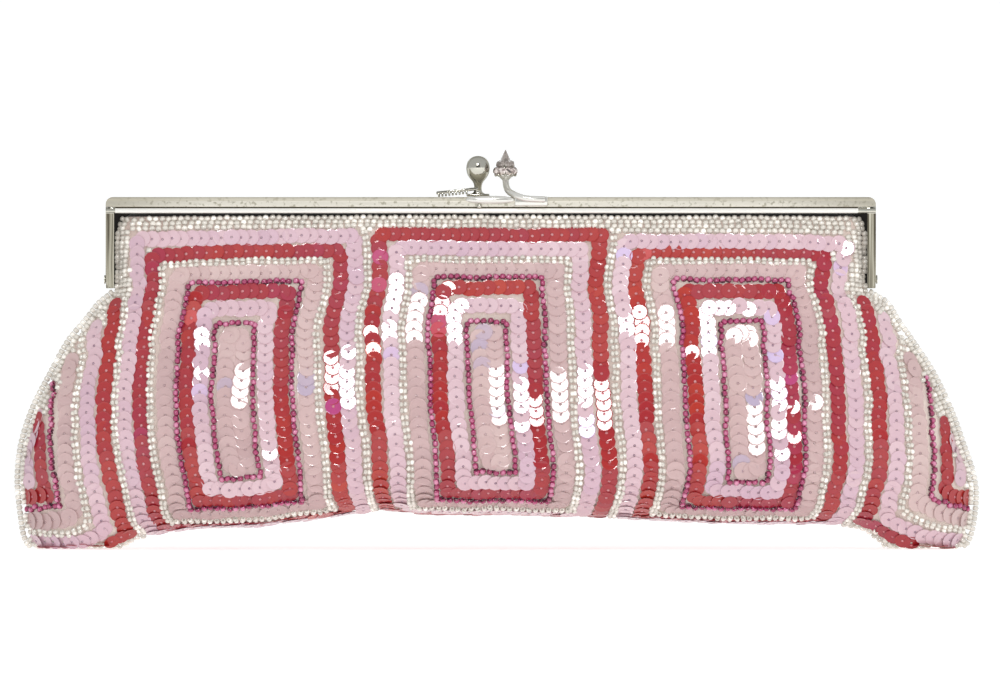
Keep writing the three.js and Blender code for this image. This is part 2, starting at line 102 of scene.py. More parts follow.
def finishWith(thing, kind, **settings):  # adds a modifier and applies it
    modifier = pick(thing).modifiers.new(kind.lower(), kind)
    for key, value in settings.items():
        setattr(modifier, key, value)
    bpy.ops.object.modifier_apply(modifier=modifier.name)
    return thing


def smoothBy(thing, degrees):
    pick(thing)
    bpy.ops.object.shade_smooth_by_angle(angle=math.radians(degrees))
    return thing


def settle(thing, name, material, slotName, *stoodFor):  # place into the mesh, finish on, riding on the bag
    pick(thing)
    bpy.ops.object.transform_apply(location=True, rotation=True, scale=True)
    thing.name = name
    thing.data.name = name
    thing.data.materials.clear()
    thing.data.materials.append(material)
    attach(thing, "root")
    if stoodFor:
        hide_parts(*stoodFor)
    return thing


def meshFrom(name, points, faces, smooth, **numbers):  # faces all have the same number of corners
    mesh = bpy.data.meshes.new(name)
    corners = faces.shape[1]
    mesh.vertices.add(len(points))
    mesh.vertices.foreach_set("co", points.astype(np.float32).ravel())
    mesh.loops.add(faces.size)
    mesh.loops.foreach_set("vertex_index", faces.astype(np.int32).ravel())
    mesh.polygons.add(len(faces))
    mesh.polygons.foreach_set("loop_start", np.arange(0, faces.size, corners, dtype=np.int32))
    mesh.update(calc_edges=True)
    mesh.polygons.foreach_set("use_smooth", np.full(len(faces), smooth))
    for key, values in numbers.items():
        mesh.attributes.new(key, "FLOAT", "POINT").data.foreach_set("value", values.astype(np.float32))
    return link(bpy.data.objects.new(name, mesh))


# Shader maths written as expressions
class Wire:
    def __init__(self, finish, socket):
        self.finish, self.socket = finish, socket

    def maths(self, operation, first, second):
        return self.finish.node("Math", {"operation": operation}, {0: first, 1: second})

    def __add__(self, other):
        return self.maths("ADD", self, other)

    def __sub__(self, other):
        return self.maths("SUBTRACT", self, other)

    def __rsub__(self, other):
        return self.maths("SUBTRACT", other, self)

    def __mul__(self, other):
        return self.maths("MULTIPLY", self, other)

    def __gt__(self, other):
        return self.maths("GREATER_THAN", self, other)

    def __abs__(self):
        return self.maths("ABSOLUTE", self, 0.0)

    __radd__ = __add__
    __rmul__ = __mul__


class Finish:
    def __init__(self, name, **fixed):
        self.material = bpy.data.materials.new(name)
        self.material.use_nodes = True
        self.tree = self.material.node_tree
        self.shader = self.tree.nodes["Principled BSDF"]
        for key, value in fixed.items():
            self.shader.inputs[key.replace("_", " ")].default_value = value

    def node(self, kind, settings=None, sockets=None, out=0):
        made = self.tree.nodes.new("ShaderNode" + kind)
        for key, value in (settings or {}).items():
            if key == "stops":
                while len(made.color_ramp.elements) < len(value):
                    made.color_ramp.elements.new(0.5)
                for element, (place, colour) in zip(made.color_ramp.elements, value):
                    element.position, element.color = place, colour
            else:
                setattr(made, key, value)
        for key, value in (sockets or {}).items():
            if isinstance(value, Wire):
                self.tree.links.new(value.socket, made.inputs[key])
            else:
                made.inputs[key].default_value = value
        return Wire(self, made.outputs[out])

    def number(self, name):  # a number kept on the mesh
        return self.node("Attribute", {"attribute_name": name}, out="Fac")

    def spot(self):
        return self.node("TexCoord", out="Object")

    def axis(self, letter):
        return self.node("SeparateXYZ", {}, {0: self.spot()}, letter)

    def noise(self, scale, detail=2.0, vector=None):
        sockets = {"Vector": vector or self.spot(), "Scale": scale, "Detail": detail}
        return self.node("TexNoise", {}, sockets)

    def ramp(self, factor, stops):
        return self.node("ValToRGB", {"stops": stops}, {"Fac": factor})

    def mix(self, factor, first, second):
        return self.node("Mix", {"data_type": "RGBA"}, {0: factor, 6: first, 7: second}, 2)

    def bump(self, height, distance):
        return self.node("Bump", {}, {"Height": height, "Distance": distance})

    def feed(self, **wires):
        for key, wire in wires.items():
            self.tree.links.new(wire.socket, self.shader.inputs[key.replace("_", " ")])
        return self.material


def tint(code):  # linear colour from the usual six figures
    parts = [int(code[k : k + 2], 16) / 255 for k in (0, 2, 4)]
    return (*[p / 12.92 if p <= 0.04045 else ((p + 0.055) / 1.055) ** 2.4 for p in parts], 1.0)


# Camera, floor and light
studio = {
    "cameraPlace": (0.00104, -2.6, 0.05905),
    "lens": 315.07,
    "floorTint": "fbfbfa",
    "floorGlow": 0.36,
    "floorSize": 14,
    "wallHeight": 5,
    "sweep": (1.5, 12),
    "worldTint": (0.96, 0.98, 1.0, 1.0),
    "worldStrength": 0.62,
    "keyPlace": (-0.09, -1.22, 0.76),
    "keySize": 0.23,
    "keyPower": 5.6,
    "fillPlace": (0.9, -1.4, 0.9),
    "fillSize": 1.2,
    "fillPower": 9.0,
    "cardPlace": (0, -3.5, 1.35),
    "cardSize": (2.4, 2.7),
    "cardTint": (0.02, 0.02, 0.02, 1),
    "aimHeight": 0.05,
}
cameraData = bpy.data.cameras.new("camera")
cameraData.lens = studio["lens"]
cameraData.sensor_width = 36
cameraData.clip_end = 50
camera = link(bpy.data.objects.new("camera", cameraData))
camera.location = studio["cameraPlace"]
camera.rotation_euler = (math.radians(90), 0, 0)
bpy.context.scene.camera = camera
bpy.context.scene.view_settings.view_transform = "Standard"


def softbox(name, place, size, power):
    data = bpy.data.lights.new(name, "AREA")
    data.shape, data.size, data.energy = "SQUARE", size, power
    lamp = link(bpy.data.objects.new(name, data))
    lamp.location = place
    aim = Vector((0, 0, studio["aimHeight"])) - Vector(place)
    lamp.rotation_euler = aim.to_track_quat("-Z", "Y").to_euler()
    return lamp


softbox("key", studio["keyPlace"], studio["keySize"], studio["keyPower"]).data.use_shadow = False
softbox("fill", studio["fillPlace"], studio["fillSize"], studio["fillPower"]).visible_glossy = False
world = bpy.data.worlds.new("studio")
world.use_nodes = True
world.node_tree.nodes["Background"].inputs["Color"].default_value = studio["worldTint"]
world.node_tree.nodes["Background"].inputs["Strength"].default_value = studio["worldStrength"]
bpy.context.scene.world = world

floor = fresh(bpy.ops.mesh.primitive_plane_add, size=studio["floorSize"])
floor.name = "floor"
editAll("DESELECT")
editDone()
for edge in floor.data.edges:  # the far edge is drawn up into a wall
    edge.select = all(floor.data.vertices[v].co.y > 0.49 * studio["floorSize"] for v in edge.vertices)
bpy.ops.object.mode_set(mode="EDIT")
bpy.ops.mesh.extrude_region_move(TRANSFORM_OT_translate={"value": (0, 0, studio["wallHeight"])})
editDone()
finishWith(floor, "BEVEL", width=studio["sweep"][0], segments=studio["sweep"][1])
bpy.ops.object.shade_smooth()
paper = Finish("studio paper", Base_Color=tint(studio["floorTint"]), Roughness=0.9)
paper.shader.inputs["Emission Color"].default_value = tint(studio["floorTint"])
paper.shader.inputs["Emission Strength"].default_value = studio["floorGlow"]
floor.data.materials.append(paper.material)
# A dark card behind the camera, which only the gloss on the bag mirrors
upright = (math.radians(90), 0, 0)
card = fresh(bpy.ops.mesh.primitive_plane_add, size=1, location=studio["cardPlace"], rotation=upright)
card.name = "dark_card"
card.scale = (*studio["cardSize"], 1)
card.visible_camera = card.visible_shadow = False
card.data.materials.append(Finish("dark card", Base_Color=studio["cardTint"], Roughness=0.9).material)
print("camera, floor and light ready")

# The pouch's surface, with the sizes and tables that the part is built from, in millimetres
bag = {
    "clearance": 0.3,
    "frameWidth": 228.3,
    "frameTop": 104.4,
    "frameDrop": 27,
    "frameHalfDepth": 6.35,
    "metal": 1.0,
    "barHeight": 4.8,
    "armWidth": 2.5,
    "pouchHalfDepth": 25,
    "leftReach": 27.6,
    "rightReach": 31,
    "bottomArch": 10.4,
    "restDepth": 4.5,
    "edgingDiameter": 1.9,
    "clothCorner": 4.4,
    "shoulderDrop": 5,
    "rimSquareness": 24,
    "bellySquareness": 3,
    "bellyStart": 0.4,
    "sideFullness": 0.6,
    "valleyFade": 0.3,
    "footInner": 0.82,
    "footOuter": 0.94,
    "footFade": 0.08,
}
sideOutline = [  # down from the arms' ends, then each wing's share of its reach
    (0.00, 0.02, 0.04), (0.06, 0.14, 0.17), (0.12, 0.27, 0.26), (0.20, 0.46, 0.40), (0.32, 0.65, 0.60),
    (0.45, 0.84, 0.76), (0.58, 0.96, 0.88), (0.70, 1.00, 0.98), (0.80, 0.98, 1.00), (0.90, 0.88, 0.90),
    (1.00, 0.58, 0.62),
]
bottomEdge = [  # across, then rise as a share of the arch
    (-1.00, -0.19), (-0.90, -0.10), (-0.82, 0.24), (-0.70, 0.49), (-0.54, 0.57), (-0.40, 0.79), (-0.27, 1.00),
    (-0.15, 0.89), (0.00, 0.87), (0.30, 0.77), (0.54, 0.65), (0.72, 0.63), (0.84, 0.52), (0.92, 0.12),
    (1.00, -0.19),
]
fullness = [(0.00, 0.00), (0.10, 0.16), (0.26, 0.46), (0.48, 0.80), (0.67, 0.97), (0.82, 1.00)]
valleys = [  # across, half width, dent, where it starts on the way down
    (-0.79, 0.07, 0.10, 0.25), (0.79, 0.06, 0.09, 0.22), (-0.34, 0.10, 0.03, 0.30), (0.36, 0.10, 0.03, 0.30),
]
frameMiddle = (bag["leftReach"] - bag["rightReach"]) / 2
frameHalf = bag["frameWidth"] / 2
armEnd = bag["frameTop"] - bag["frameDrop"]
barBottom = bag["frameTop"] - bag["barHeight"]
rim = bag["frameTop"] - bag["metal"] - bag["clearance"]
rimHalfDepth = bag["frameHalfDepth"] - bag["metal"] - bag["clearance"]
edgingSpace = bag["edgingDiameter"] + 2 * bag["clearance"]
lip = (rim - barBottom + 1) / rim
underStart = lip + (1 - lip) * fullness[-1][0]
seamStart = 0.93  # from here outwards the beadwork and the cloth close in on the side seam


def readTable(table, column, at):  # smooth between the rows
    rows = np.array(table, float)
    keys, values = rows[:, 0], rows[:, column]
    at = np.clip(at, keys[0], keys[-1])
    last = len(keys) - 1
    i = np.clip(np.searchsorted(keys, at) - 1, 0, last - 1)
    before, after = np.maximum(np.arange(last + 1) - 1, 0), np.minimum(np.arange(last + 1) + 1, last)
    slope = (values[after] - values[before]) / (keys[after] - keys[before])
    span = keys[i + 1] - keys[i]
    t = (at - keys[i]) / span
    ease = t * t * (3 - 2 * t)
    pull = t * (1 - t) ** 2 * slope[i] * span - t * t * (1 - t) * slope[i + 1] * span
    return values[i] + (values[i + 1] - values[i]) * ease + pull


def smoothStep(low, high, value):
    t = np.clip((value - low) / (high - low), 0, 1)
    return t * t * (3 - 2 * t)


def clothEdge(side, height):
    turn = np.clip((height - barBottom) / bag["clothCorner"] + 1, 0, 1)
    cornerInset = bag["clothCorner"] * (1 - np.sqrt(1 - turn * turn))
    inArms = frameMiddle + side * (frameHalf - bag["armWidth"] - 2 * bag["clearance"] - cornerInset)
    reach = bag["leftReach"] if side < 0 else bag["rightReach"]
    share = readTable(sideOutline, 1 if side < 0 else 2, (armEnd - height) / armEnd)
    inEdging = frameMiddle + side * (frameHalf + reach * share - edgingSpace)
    return inEdging + (inArms - inEdging) * smoothStep(armEnd - bag["shoulderDrop"], armEnd, height)


def planEdge(side, height):  # the lines of beadwork don't follow the short turn under the arms
    low = armEnd - 20
    inArms = frameMiddle + side * (frameHalf - bag["armWidth"] - 2 * bag["clearance"])
    below = clothEdge(side, np.minimum(height, low))
    return below + (inArms - below) * smoothStep(low, armEnd + 2, height)


def fromPlan(across, down):
    height = rim * (1 - down)
    left, right = planEdge(-1, height), planEdge(1, height)
    x = left + (right - left) * (across + 1) / 2
    left, right = clothEdge(-1, height), clothEdge(1, height)
    return 2 * (x - left) / (right - left) - 1


def pouchPoint(across, down, inset):  # front half, in metres
    foot = bag["bottomArch"] * readTable(bottomEdge, 1, across) + inset
    sideHeight = rim + (inset - rim) * down
    height = rim + (foot - rim) * down
    left, right = clothEdge(-1, sideHeight) + inset, clothEdge(1, sideHeight) - inset
    under = np.clip((down - underStart) / (1 - underStart), 0, 1)
    share = readTable(fullness, 1, (down - lip) / (1 - lip))
    bulge = (bag["pouchHalfDepth"] - rimHalfDepth) * share
    full = (rimHalfDepth + bulge - inset) * np.sqrt(1 - under * under)
    squareness = bag["rimSquareness"] + (bag["bellySquareness"] - bag["rimSquareness"]) * smoothStep(
        0, bag["bellyStart"], down
    )
    rounding = np.maximum(0, 1 - np.abs(across) ** squareness) ** bag["sideFullness"]
    dent = 0
    for place, wide, deep, start in valleys:
        dent = dent + deep * np.exp(-(((across - place) / wide) ** 2)) * smoothStep(
            start, start + bag["valleyFade"], down
        )
    press = smoothStep(bag["footInner"], bag["footOuter"], np.abs(across)) * smoothStep(
        underStart, underStart + bag["footFade"], down
    )
    x = left + (right - left) * (across + 1) / 2
    y = -(bag["clearance"] / 2 + full * rounding * (1 - dent))
    z = np.maximum(height - bag["restDepth"] * press, inset)
    return np.stack([x, y, z], -1) * mm


def outward(across, down):  # unit normals of the front half
    step = 0.002
    a0, a1 = np.clip(across - step, -0.999, 0.999), np.clip(across + step, -0.999, 0.999)
    d0, d1 = np.clip(down - step, 0.0, 0.998), np.clip(down + step, 0.0, 0.998)
    byAcross = pouchPoint(a1, down, 0) - pouchPoint(a0, down, 0)
    byDown = pouchPoint(across, d1, 0) - pouchPoint(across, d0, 0)
    normal = np.cross(byDown, byAcross)
    return normal / np.maximum(np.linalg.norm(normal, axis=-1, keepdims=True), 1e-12)


# Cloth halves: a woven shell under the beadwork
cloth = {
    "inset": 1.75,
    "thickness": 0.4,
    "across": 120,
    "down": 72,
    "topGap": 0.004,
    "rowGrowth": 1.35,
    "edgeInset": 1.1,
    "tint": "e6d6cc",
    "shade": "d6c0b8",
    # The next two set the painted shade of the channel under the frame: its near-black colour and the height
    # above which it is laid.
    "dark": "0d0a09",
    "channelShadeOver": 0.0986,
    "weave": 2600,
    "weaveDepth": 0.00008,
    "patches": 90,
    "cut": (0.286, 0.118),
    "area": 0.0300,
}
# The cloth glows faintly in its own colour: painted light that lifts the shade between the beads.
weave = Finish("woven ground", Roughness=0.85, Sheen_Weight=0.3, Emission_Strength=0.16)
threads = weave.node("TexWave", {"wave_type": "BANDS", "bands_direction": "X"}, {
    "Vector": weave.spot(), "Scale": cloth["weave"], "Distortion": 0.4,
})
cross = weave.node("TexWave", {"wave_type": "BANDS", "bands_direction": "Z"}, {
    "Vector": weave.spot(), "Scale": cloth["weave"], "Distortion": 0.4,
})
# Above this height the cloth is near black: painted shade in the channel under the frame's roll.
channelShade = weave.axis("Z") > cloth["channelShadeOver"]
patchy = weave.ramp(weave.noise(cloth["patches"]), [(0.3, tint(cloth["shade"])), (0.7, tint(cloth["tint"]))])
ground = weave.mix(channelShade, patchy, tint(cloth["dark"]))
weave.feed(Base_Color=ground, Emission_Color=ground, Normal=weave.bump(threads * cross, cloth["weaveDepth"]))


def clothHalf(name, facing, node):
    across = np.sin(np.pi / 2 * np.linspace(-1, 1, cloth["across"]))
    rows = 1 - (1 - np.linspace(cloth["topGap"], 1, cloth["down"])) ** cloth["rowGrowth"]
    a, d = (grid.ravel() for grid in np.meshgrid(across, rows))
    towardSeam = smoothStep(seamStart, 1.0, np.abs(a))
    points = pouchPoint(a, d, cloth["inset"] + (cloth["edgeInset"] - cloth["inset"]) * towardSeam)
    points[:, 1] *= facing
    wide = len(across)
    corner = (np.arange(len(rows) - 1)[:, None] * wide + np.arange(wide - 1)[None, :]).ravel()
    quads = np.stack([corner, corner + wide, corner + wide + 1, corner + 1], -1)
    if facing < 0:
        quads = quads[:, ::-1]
    half = meshFrom(name, points, quads, True)
    finishWith(half, "SOLIDIFY", thickness=cloth["thickness"] * mm, offset=-1)
    return settle(half, name, weave.material, "beaded_cloth", node)


for name, facing, node in (("cloth_front", 1, "front_panel"), ("cloth_back", -1, "back_panel")):
    half = clothHalf(name, facing, node)
print("cloth halves made")

# Plan of the beadwork: P pearl pink sequins, R cherry red, A pale shell, M raspberry beads, C clear beads.
# Border lines between panels: down, then across
borders = {
    "leftWing": [
        (0.00, -0.975), (0.087, -0.977), (0.20, -0.975), (0.28, -0.965), (0.303, -0.949), (0.365, -0.904),
        (0.428, -0.8755), (0.49, -0.860), (0.648, -0.8165), (0.795, -0.794), (0.892, -0.786),
        (0.964, -0.800), (1.0, -0.803),
    ],
    "leftMiddle": [
        (0.00, -0.345), (0.123, -0.337), (0.38, -0.3185), (0.541, -0.296), (0.75, -0.275), (0.959, -0.276),
        (1.0, -0.276),
    ],
    "middleRight": [
        (0.00, 0.338), (0.121, 0.3306), (0.529, 0.2787), (0.936, 0.2626), (1.0, 0.262),
    ],
    "rightWing": [
        (0.00, 0.983), (0.087, 0.981), (0.168, 0.978), (0.278, 0.955), (0.303, 0.945), (0.365, 0.905),
        (0.428, 0.876), (0.49, 0.857), (0.513, 0.849), (0.724, 0.801), (0.891, 0.776), (0.965, 0.794),
        (1.0, 0.797),
    ],
}
# Rings of each panel, from the outermost: their kinds, then left and right as shares of its width, top as
# down, bottom as down or, where it is under the bag, as minus the millimetres from the bottom seam
panels = [
    ("leftWing", "leftMiddle", "PRCAMRPMA", [
        (0.039, 0.951, 0.1087, -1.8), (0.098, 0.885, 0.1546, -6.0), (0.141, 0.830, 0.1852, 0.9772),
        (0.199, 0.781, 0.2188, 0.9587), (0.252, 0.7234, 0.2463, 0.9403), (0.291, 0.678, 0.2785, 0.919),
        (0.350, 0.615, 0.3292, 0.8825), (0.400, 0.5635, 0.3736, 0.8505), (0.449, 0.514, 0.412, 0.822),
    ]),
    ("leftMiddle", "middleRight", "RPCAMRPMA", [
        (0.0505, 0.9495, 0.1067, -4.0), (0.1223, 0.8796, 0.1513, -8.2), (0.169, 0.831, 0.1864, 0.978),
        (0.2194, 0.7806, 0.2182, 0.9648), (0.2738, 0.728, 0.242, 0.9502), (0.3165, 0.6835, 0.2769, 0.9292),
        (0.3767, 0.6272, 0.3324, 0.894), (0.425, 0.5786, 0.383, 0.8591), (0.4738, 0.534, 0.42, 0.83),
    ]),
    ("middleRight", "rightWing", "PRCAMRPMA", [
        (0.05, 0.952, 0.1258, -1.8), (0.114, 0.884, 0.1584, -5.7), (0.162, 0.832, 0.1863, 0.982),
        (0.218, 0.788, 0.2158, 0.9661), (0.272, 0.744, 0.2436, 0.9536), (0.316, 0.702, 0.2808, 0.9349),
        (0.38, 0.644, 0.3317, 0.9009), (0.43, 0.598, 0.3718, 0.87), (0.482, 0.548, 0.41, 0.84),
    ]),
]
# Wings: how far out from the border each column lies, and the row in which it turns to the side seam, at its
# start and at its end
wings = [
    ("leftWing", -1, [
        (0.027, 0.990, 0.950), (0.062, 0.953, 0.920), (0.088, 0.917, 0.895), (0.113, 0.880, 0.880),
        (0.141, 0.858, 0.858), (0.166, 0.838, 0.838), (0.192, 0.8096, 0.8096),
    ]),
    ("rightWing", 1, [
        (0.027, 0.990, 0.953), (0.062, 0.956, 0.921), (0.088, 0.917, 0.893), (0.113, 0.876, 0.876),
        (0.140, 0.859, 0.859), (0.168, 0.8415, 0.8415), (0.196, 0.8036, 0.8036),
    ]),
]
work = {
    "sequinPitch": 2.95,
    "beadPitch": 1.93,
    "wander": 0.22,
    "wingKinds": "RPCAMRP",
    "columnStart": 0.285,
    "followsSeam": 0.18,
    "topRows": [0.0515, 0.0648, 0.0778],
    "topEnds": 0.972,
    "spareRow": 0.0915,
    "margins": {"P": 3.8, "R": 2.7, "A": 3.2, "M": 1.8, "C": 1.6},
    "lastColumn": 2.3,
    "lastStart": {-1: 0.60, 1: 0.67},
    "pair": 0.56,
    "pairSize": 0.84,
    "seamInset": 0.55,
    "bottomRows": [0.6, 2.3, 4.0, 5.7],
    "bottomSpan": (0.775, 0.985),
    "topDisc": [(0.939, 0.136), (0.967, 0.136)],
    "topDiscRise": 0.7,
    "fillRows": 9,
    "fillSpan": (0.046, 0.985),
    "fillFirst": 1.1,
    "fillStep": 1.86,
    "fillPitch": 1.42,
    "fillShoulder": 62,
    "seamShift": {-1: -0.4, 1: 0.65},
    "seamGaps": {-1: [(94.3, 98.5)], 1: [(94, 99), (79, 81.6)]},
    "discRoom": 2.8,
    "rowRoom": 2.7,
    "bottomRoom": 2.5,
    "seamRoom": 0.5,
    "beadRoom": 1.5,
}


def borderAt(name, down):
    return readTable(borders[name], 1, down)


def downOverSeam(across, distance):  # the place that many millimetres up from the bottom seam
    down = np.linspace(0.9, 1.0, 400)
    points = pouchPoint(np.full(400, across), down, 1.0)
    left = np.concatenate([np.cumsum(np.linalg.norm(np.diff(points, axis=0), axis=1)[::-1])[::-1], [0]])
    return float(np.interp(distance * mm, left[::-1], down[::-1]))


def ringPath(leftBorder, rightBorder, left, right, top, bottom):
    side = np.linspace(0, 1, 160)
    share = np.concatenate([np.full(160, left), left + (right - left) * side, np.full(160, right),
                            right + (left - right) * side])
    down = np.concatenate([top + (bottom - top) * side, np.full(160, bottom), bottom + (top - bottom) * side,
                           np.full(160, top)])
    a0, a1 = borderAt(leftBorder, down), borderAt(rightBorder, down)
    return np.stack([fromPlan(a0 + (a1 - a0) * share, down), down], -1)


def wander(path, amount):  # hand-sewn lines are never quite straight
    steps = len(path)
    t = np.linspace(0, 2 * np.pi, steps)
    for k in (3, 7, 12):
        phase = dice.uniform(0, 2 * np.pi, 2)
        sway = np.stack([np.sin(k * t + phase[0]) / 125, np.sin(k * t + phase[1]) / 100], -1)
        path = path + sway * amount / 2
    return path


def layLine(path, pitch, inset):  # stops along a path, with their places, directions and normals
    path = np.clip(path, [-0.9985, 0.03], [0.9985, 0.9985])
    points = pouchPoint(path[:, 0], path[:, 1], inset)
    run = np.concatenate([[0], np.cumsum(np.linalg.norm(np.diff(points, axis=0), axis=1))])
    count = max(1, int(round(run[-1] / (pitch * mm))))
    stops = (np.arange(count) + 0.5) * run[-1] / count
    across, down = np.interp(stops, run, path[:, 0]), np.interp(stops, run, path[:, 1])
    step = 0.4 * mm
    ahead = np.stack([np.interp(stops + step, run, points[:, k]) - np.interp(stops - step, run, points[:, k])
                      for k in range(3)], -1)
    inset = inset - (inset - work["seamInset"]) * smoothStep(seamStart, 1.0, np.abs(across))
    return {
        "place": pouchPoint(across, down, inset),
        "along": ahead / np.maximum(np.linalg.norm(ahead, axis=1, keepdims=True), 1e-9),
        "normal": outward(across, down),
    }


def fromSeam(side, down, distance):  # across, at that many millimetres in from the side seam
    fine = side * np.sin(np.pi / 2 * np.linspace(1, 0.5, 200))
    a, d = np.meshgrid(fine, down)
    points = pouchPoint(a.ravel(), d.ravel(), 0).reshape(len(down), len(fine), 3)
    run = np.cumsum(np.linalg.norm(np.diff(points, axis=1), axis=2), axis=1)
    return np.array([np.interp(distance * mm, [0, *row], fine) for row in run])


lines = {kind: [] for kind in "PRAMC"}
heights = {"P": 1.0, "R": 1.2, "A": 1.25, "M": 0.96, "C": 0.96}  # inset of each kind's middle plane
pitches = {kind: work["sequinPitch" if kind in "PRA" else "beadPitch"] for kind in "PRAMC"}


def addLine(kind, path):
    path = wander(path, work["wander"])
    line = layLine(path, pitches[kind], heights[kind])
    if kind == "C":  # two beads to a stitch, side by side
        across = np.cross(line["normal"], line["along"]) * work["pair"] * mm
        line["size"] = work["pairSize"]
        lines[kind].append({**line, "place": line["place"] + across})
        line["place"] = line["place"] - across
    lines[kind].append(line)


for leftBorder, rightBorder, kinds, rings in panels:
    middle = float(borderAt(leftBorder, 0.9) + borderAt(rightBorder, 0.9)) / 2
    for kind, (left, right, top, bottom) in zip(kinds, rings):
        low = bottom if bottom > 0 else downOverSeam(middle, -bottom)
        addLine(kind, ringPath(leftBorder, rightBorder, left, right, top, low))
for name, side, columns in wings:
    for kind, (offset, row, rowEnd) in zip(work["wingKinds"], columns):
        down = np.linspace(work["columnStart"], row, 300)
        seam = fromSeam(side, down, work["lastColumn"])
        column = fromPlan(borderAt(name, down) + side * offset, down)
        last = offset > work["followsSeam"]  # the last column runs along the seam
        if last:
            column = np.where(side * column > side * seam, seam, column)
            column = np.where(down < work["lastStart"][side], side * 1.1, column)
        foot = np.linspace(column[-1], side * 0.9985, 120)
        foot = np.stack([foot, np.linspace(row, rowEnd, 120)], -1)
        path = np.concatenate([np.stack([column, down], -1), foot])
        margin = fromSeam(side, path[:, 1], work["margins"][kind])
        inside = (side * path[:, 0] < side * margin) | (path[:, 1] >= min(row, rowEnd))
        if last:
            inside = (np.abs(path[:, 0]) < 1) & (np.arange(len(path)) < 300)
        start, end = int(np.argmax(inside)), len(path) - int(np.argmax(inside[::-1]))
        if end - start > 20:
            addLine(kind, path[start:end])
for name, start in (("leftWing", 0.27), ("leftMiddle", 0.087), ("middleRight", 0.087), ("rightWing", 0.27)):
    down = np.linspace(start, 0.995, 300)
    addLine("C", np.stack([fromPlan(borderAt(name, down), down), down], -1))
for down in work["topRows"]:
    across = np.linspace(-work["topEnds"], work["topEnds"], 600)
    lines["C"].append(layLine(np.stack([across, np.full(600, down)], -1), pitches["C"], heights["C"]))


def clearOf(places, others, distance):
    apart = np.linalg.norm(places[:, None, :] - others[None, :, :], axis=2)
    return apart.min(axis=1) > distance * mm


def keepFree(row, free):
    return {key: values[free] for key, values in row.items()}


# Clear beads fill what the lines leave free beside the seams, in rows that run along the seam
discs = np.concatenate([line["place"] for kind in "PRA" for line in lines[kind]])
spare = np.stack([np.linspace(-0.95, 0.95, 600), np.full(600, work["spareRow"])], -1)
spare = layLine(spare, pitches["C"], heights["C"])
lines["C"].append(keepFree(spare, clearOf(spare["place"], discs, work["rowRoom"])))
strung = np.concatenate([line["place"] for kind in "MC" for line in lines[kind]])
for side in (-1, 1):
    for k in range(-1, work["fillRows"]):
        down = np.linspace(*work["fillSpan"], 260)
        onSeam = k < 0
        across = np.full(260, side * 0.9995)
        if not onSeam:
            across = fromSeam(side, down, work["fillFirst"] + work["fillStep"] * k)
        row = layLine(np.stack([across, down], -1), work["fillPitch"], heights["C"])
        if onSeam:
            row["place"] = row["place"] + np.array([work["seamShift"][side] * mm, 0, 0])
        free = clearOf(row["place"], discs, work["seamRoom" if onSeam else "discRoom"])
        free &= clearOf(row["place"], strung, work["beadRoom"])
        z = row["place"][:, 2] / mm
        if k > 2:  # further in, only the shoulders have room
            free &= z > work["fillShoulder"]
        if onSeam:
            for low, high in work["seamGaps"][side]:
                free &= (z < low) | (z > high)
        row = keepFree(row, free)
        row["along"] = np.cross(row["normal"], row["along"])
        if free.any():
            lines["C"].append(row)
            strung = np.concatenate([strung, row["place"]])
for side in (-1, 1):
    for rise in work["bottomRows"]:
        across = side * np.linspace(*work["bottomSpan"], 24)
        down = np.array([downOverSeam(a, rise) for a in across])
        row = layLine(np.stack([across, down], -1), work["beadPitch"], heights["C"])
        free = clearOf(row["place"], discs, work["bottomRoom"])
        free &= clearOf(row["place"], strung, work["beadRoom"])
        if free.any():
            lines["C"].append(keepFree(row, free))
            strung = np.concatenate([strung, row["place"][free]])
corner = layLine(np.array(work["topDisc"]), work["sequinPitch"], heights["P"] - work["topDiscRise"])
lines["P"].append(keepFree(corner, slice(1)))
print("beadwork planned:", {kind: sum(len(line["place"]) for line in found) for kind, found in lines.items()})


# Sequins: one is modelled, and its copies are laid along the lines
sequin = {
    "radius": 2.5,
    "hole": 0.42,
    "flat": 0.9,
    "cup": 0.06,
    "thickness": 0.08,
    "sides": 12,
    "sizes": {"P": 1.02, "R": 1.0, "A": 1.12},
    "lean": 3.4,
    "jitter": 1.8,
    "shift": 0.14,
    "clearOfLamp": 8.0,
    "flashJitter": 0.012,
    "redShare": 0.25,
    # The next two give the room around the flashes and the share of sequins there that get a painted iridescent
    # sheen tint.
    "nearRoom": (5, 6),
    "sheenTintShare": 0.09,
}


def modelSequin():
    reached = sequin["hole"]
    fresh(bpy.ops.mesh.primitive_circle_add, vertices=sequin["sides"], radius=reached * mm, fill_type="NOTHING")
    bpy.ops.object.mode_set(mode="EDIT")
    for radius, rise in ((sequin["flat"] * sequin["radius"], 0.25), (sequin["radius"], 0.75)):
        bpy.ops.mesh.extrude_edges_move()
        bpy.ops.transform.resize(value=(radius / reached, radius / reached, 1))
        bpy.ops.transform.translate(value=(0, 0, rise * sequin["cup"] * mm))
        reached = radius
    disc = closeUp()
    if disc.data.polygons[0].normal.z < 0:
        disc.data.flip_normals()
    return takeShape(finishWith(disc, "SOLIDIFY", thickness=sequin["thickness"] * mm, offset=0))


def takeShape(thing):  # corners and faces of a modelled piece, which is then put away
    points = np.empty(len(thing.data.vertices) * 3)
    thing.data.vertices.foreach_get("co", points)
    faces = np.array([tuple(face.vertices) for face in thing.data.polygons])
    bpy.data.objects.remove(thing)
    return points.reshape(-1, 3), faces


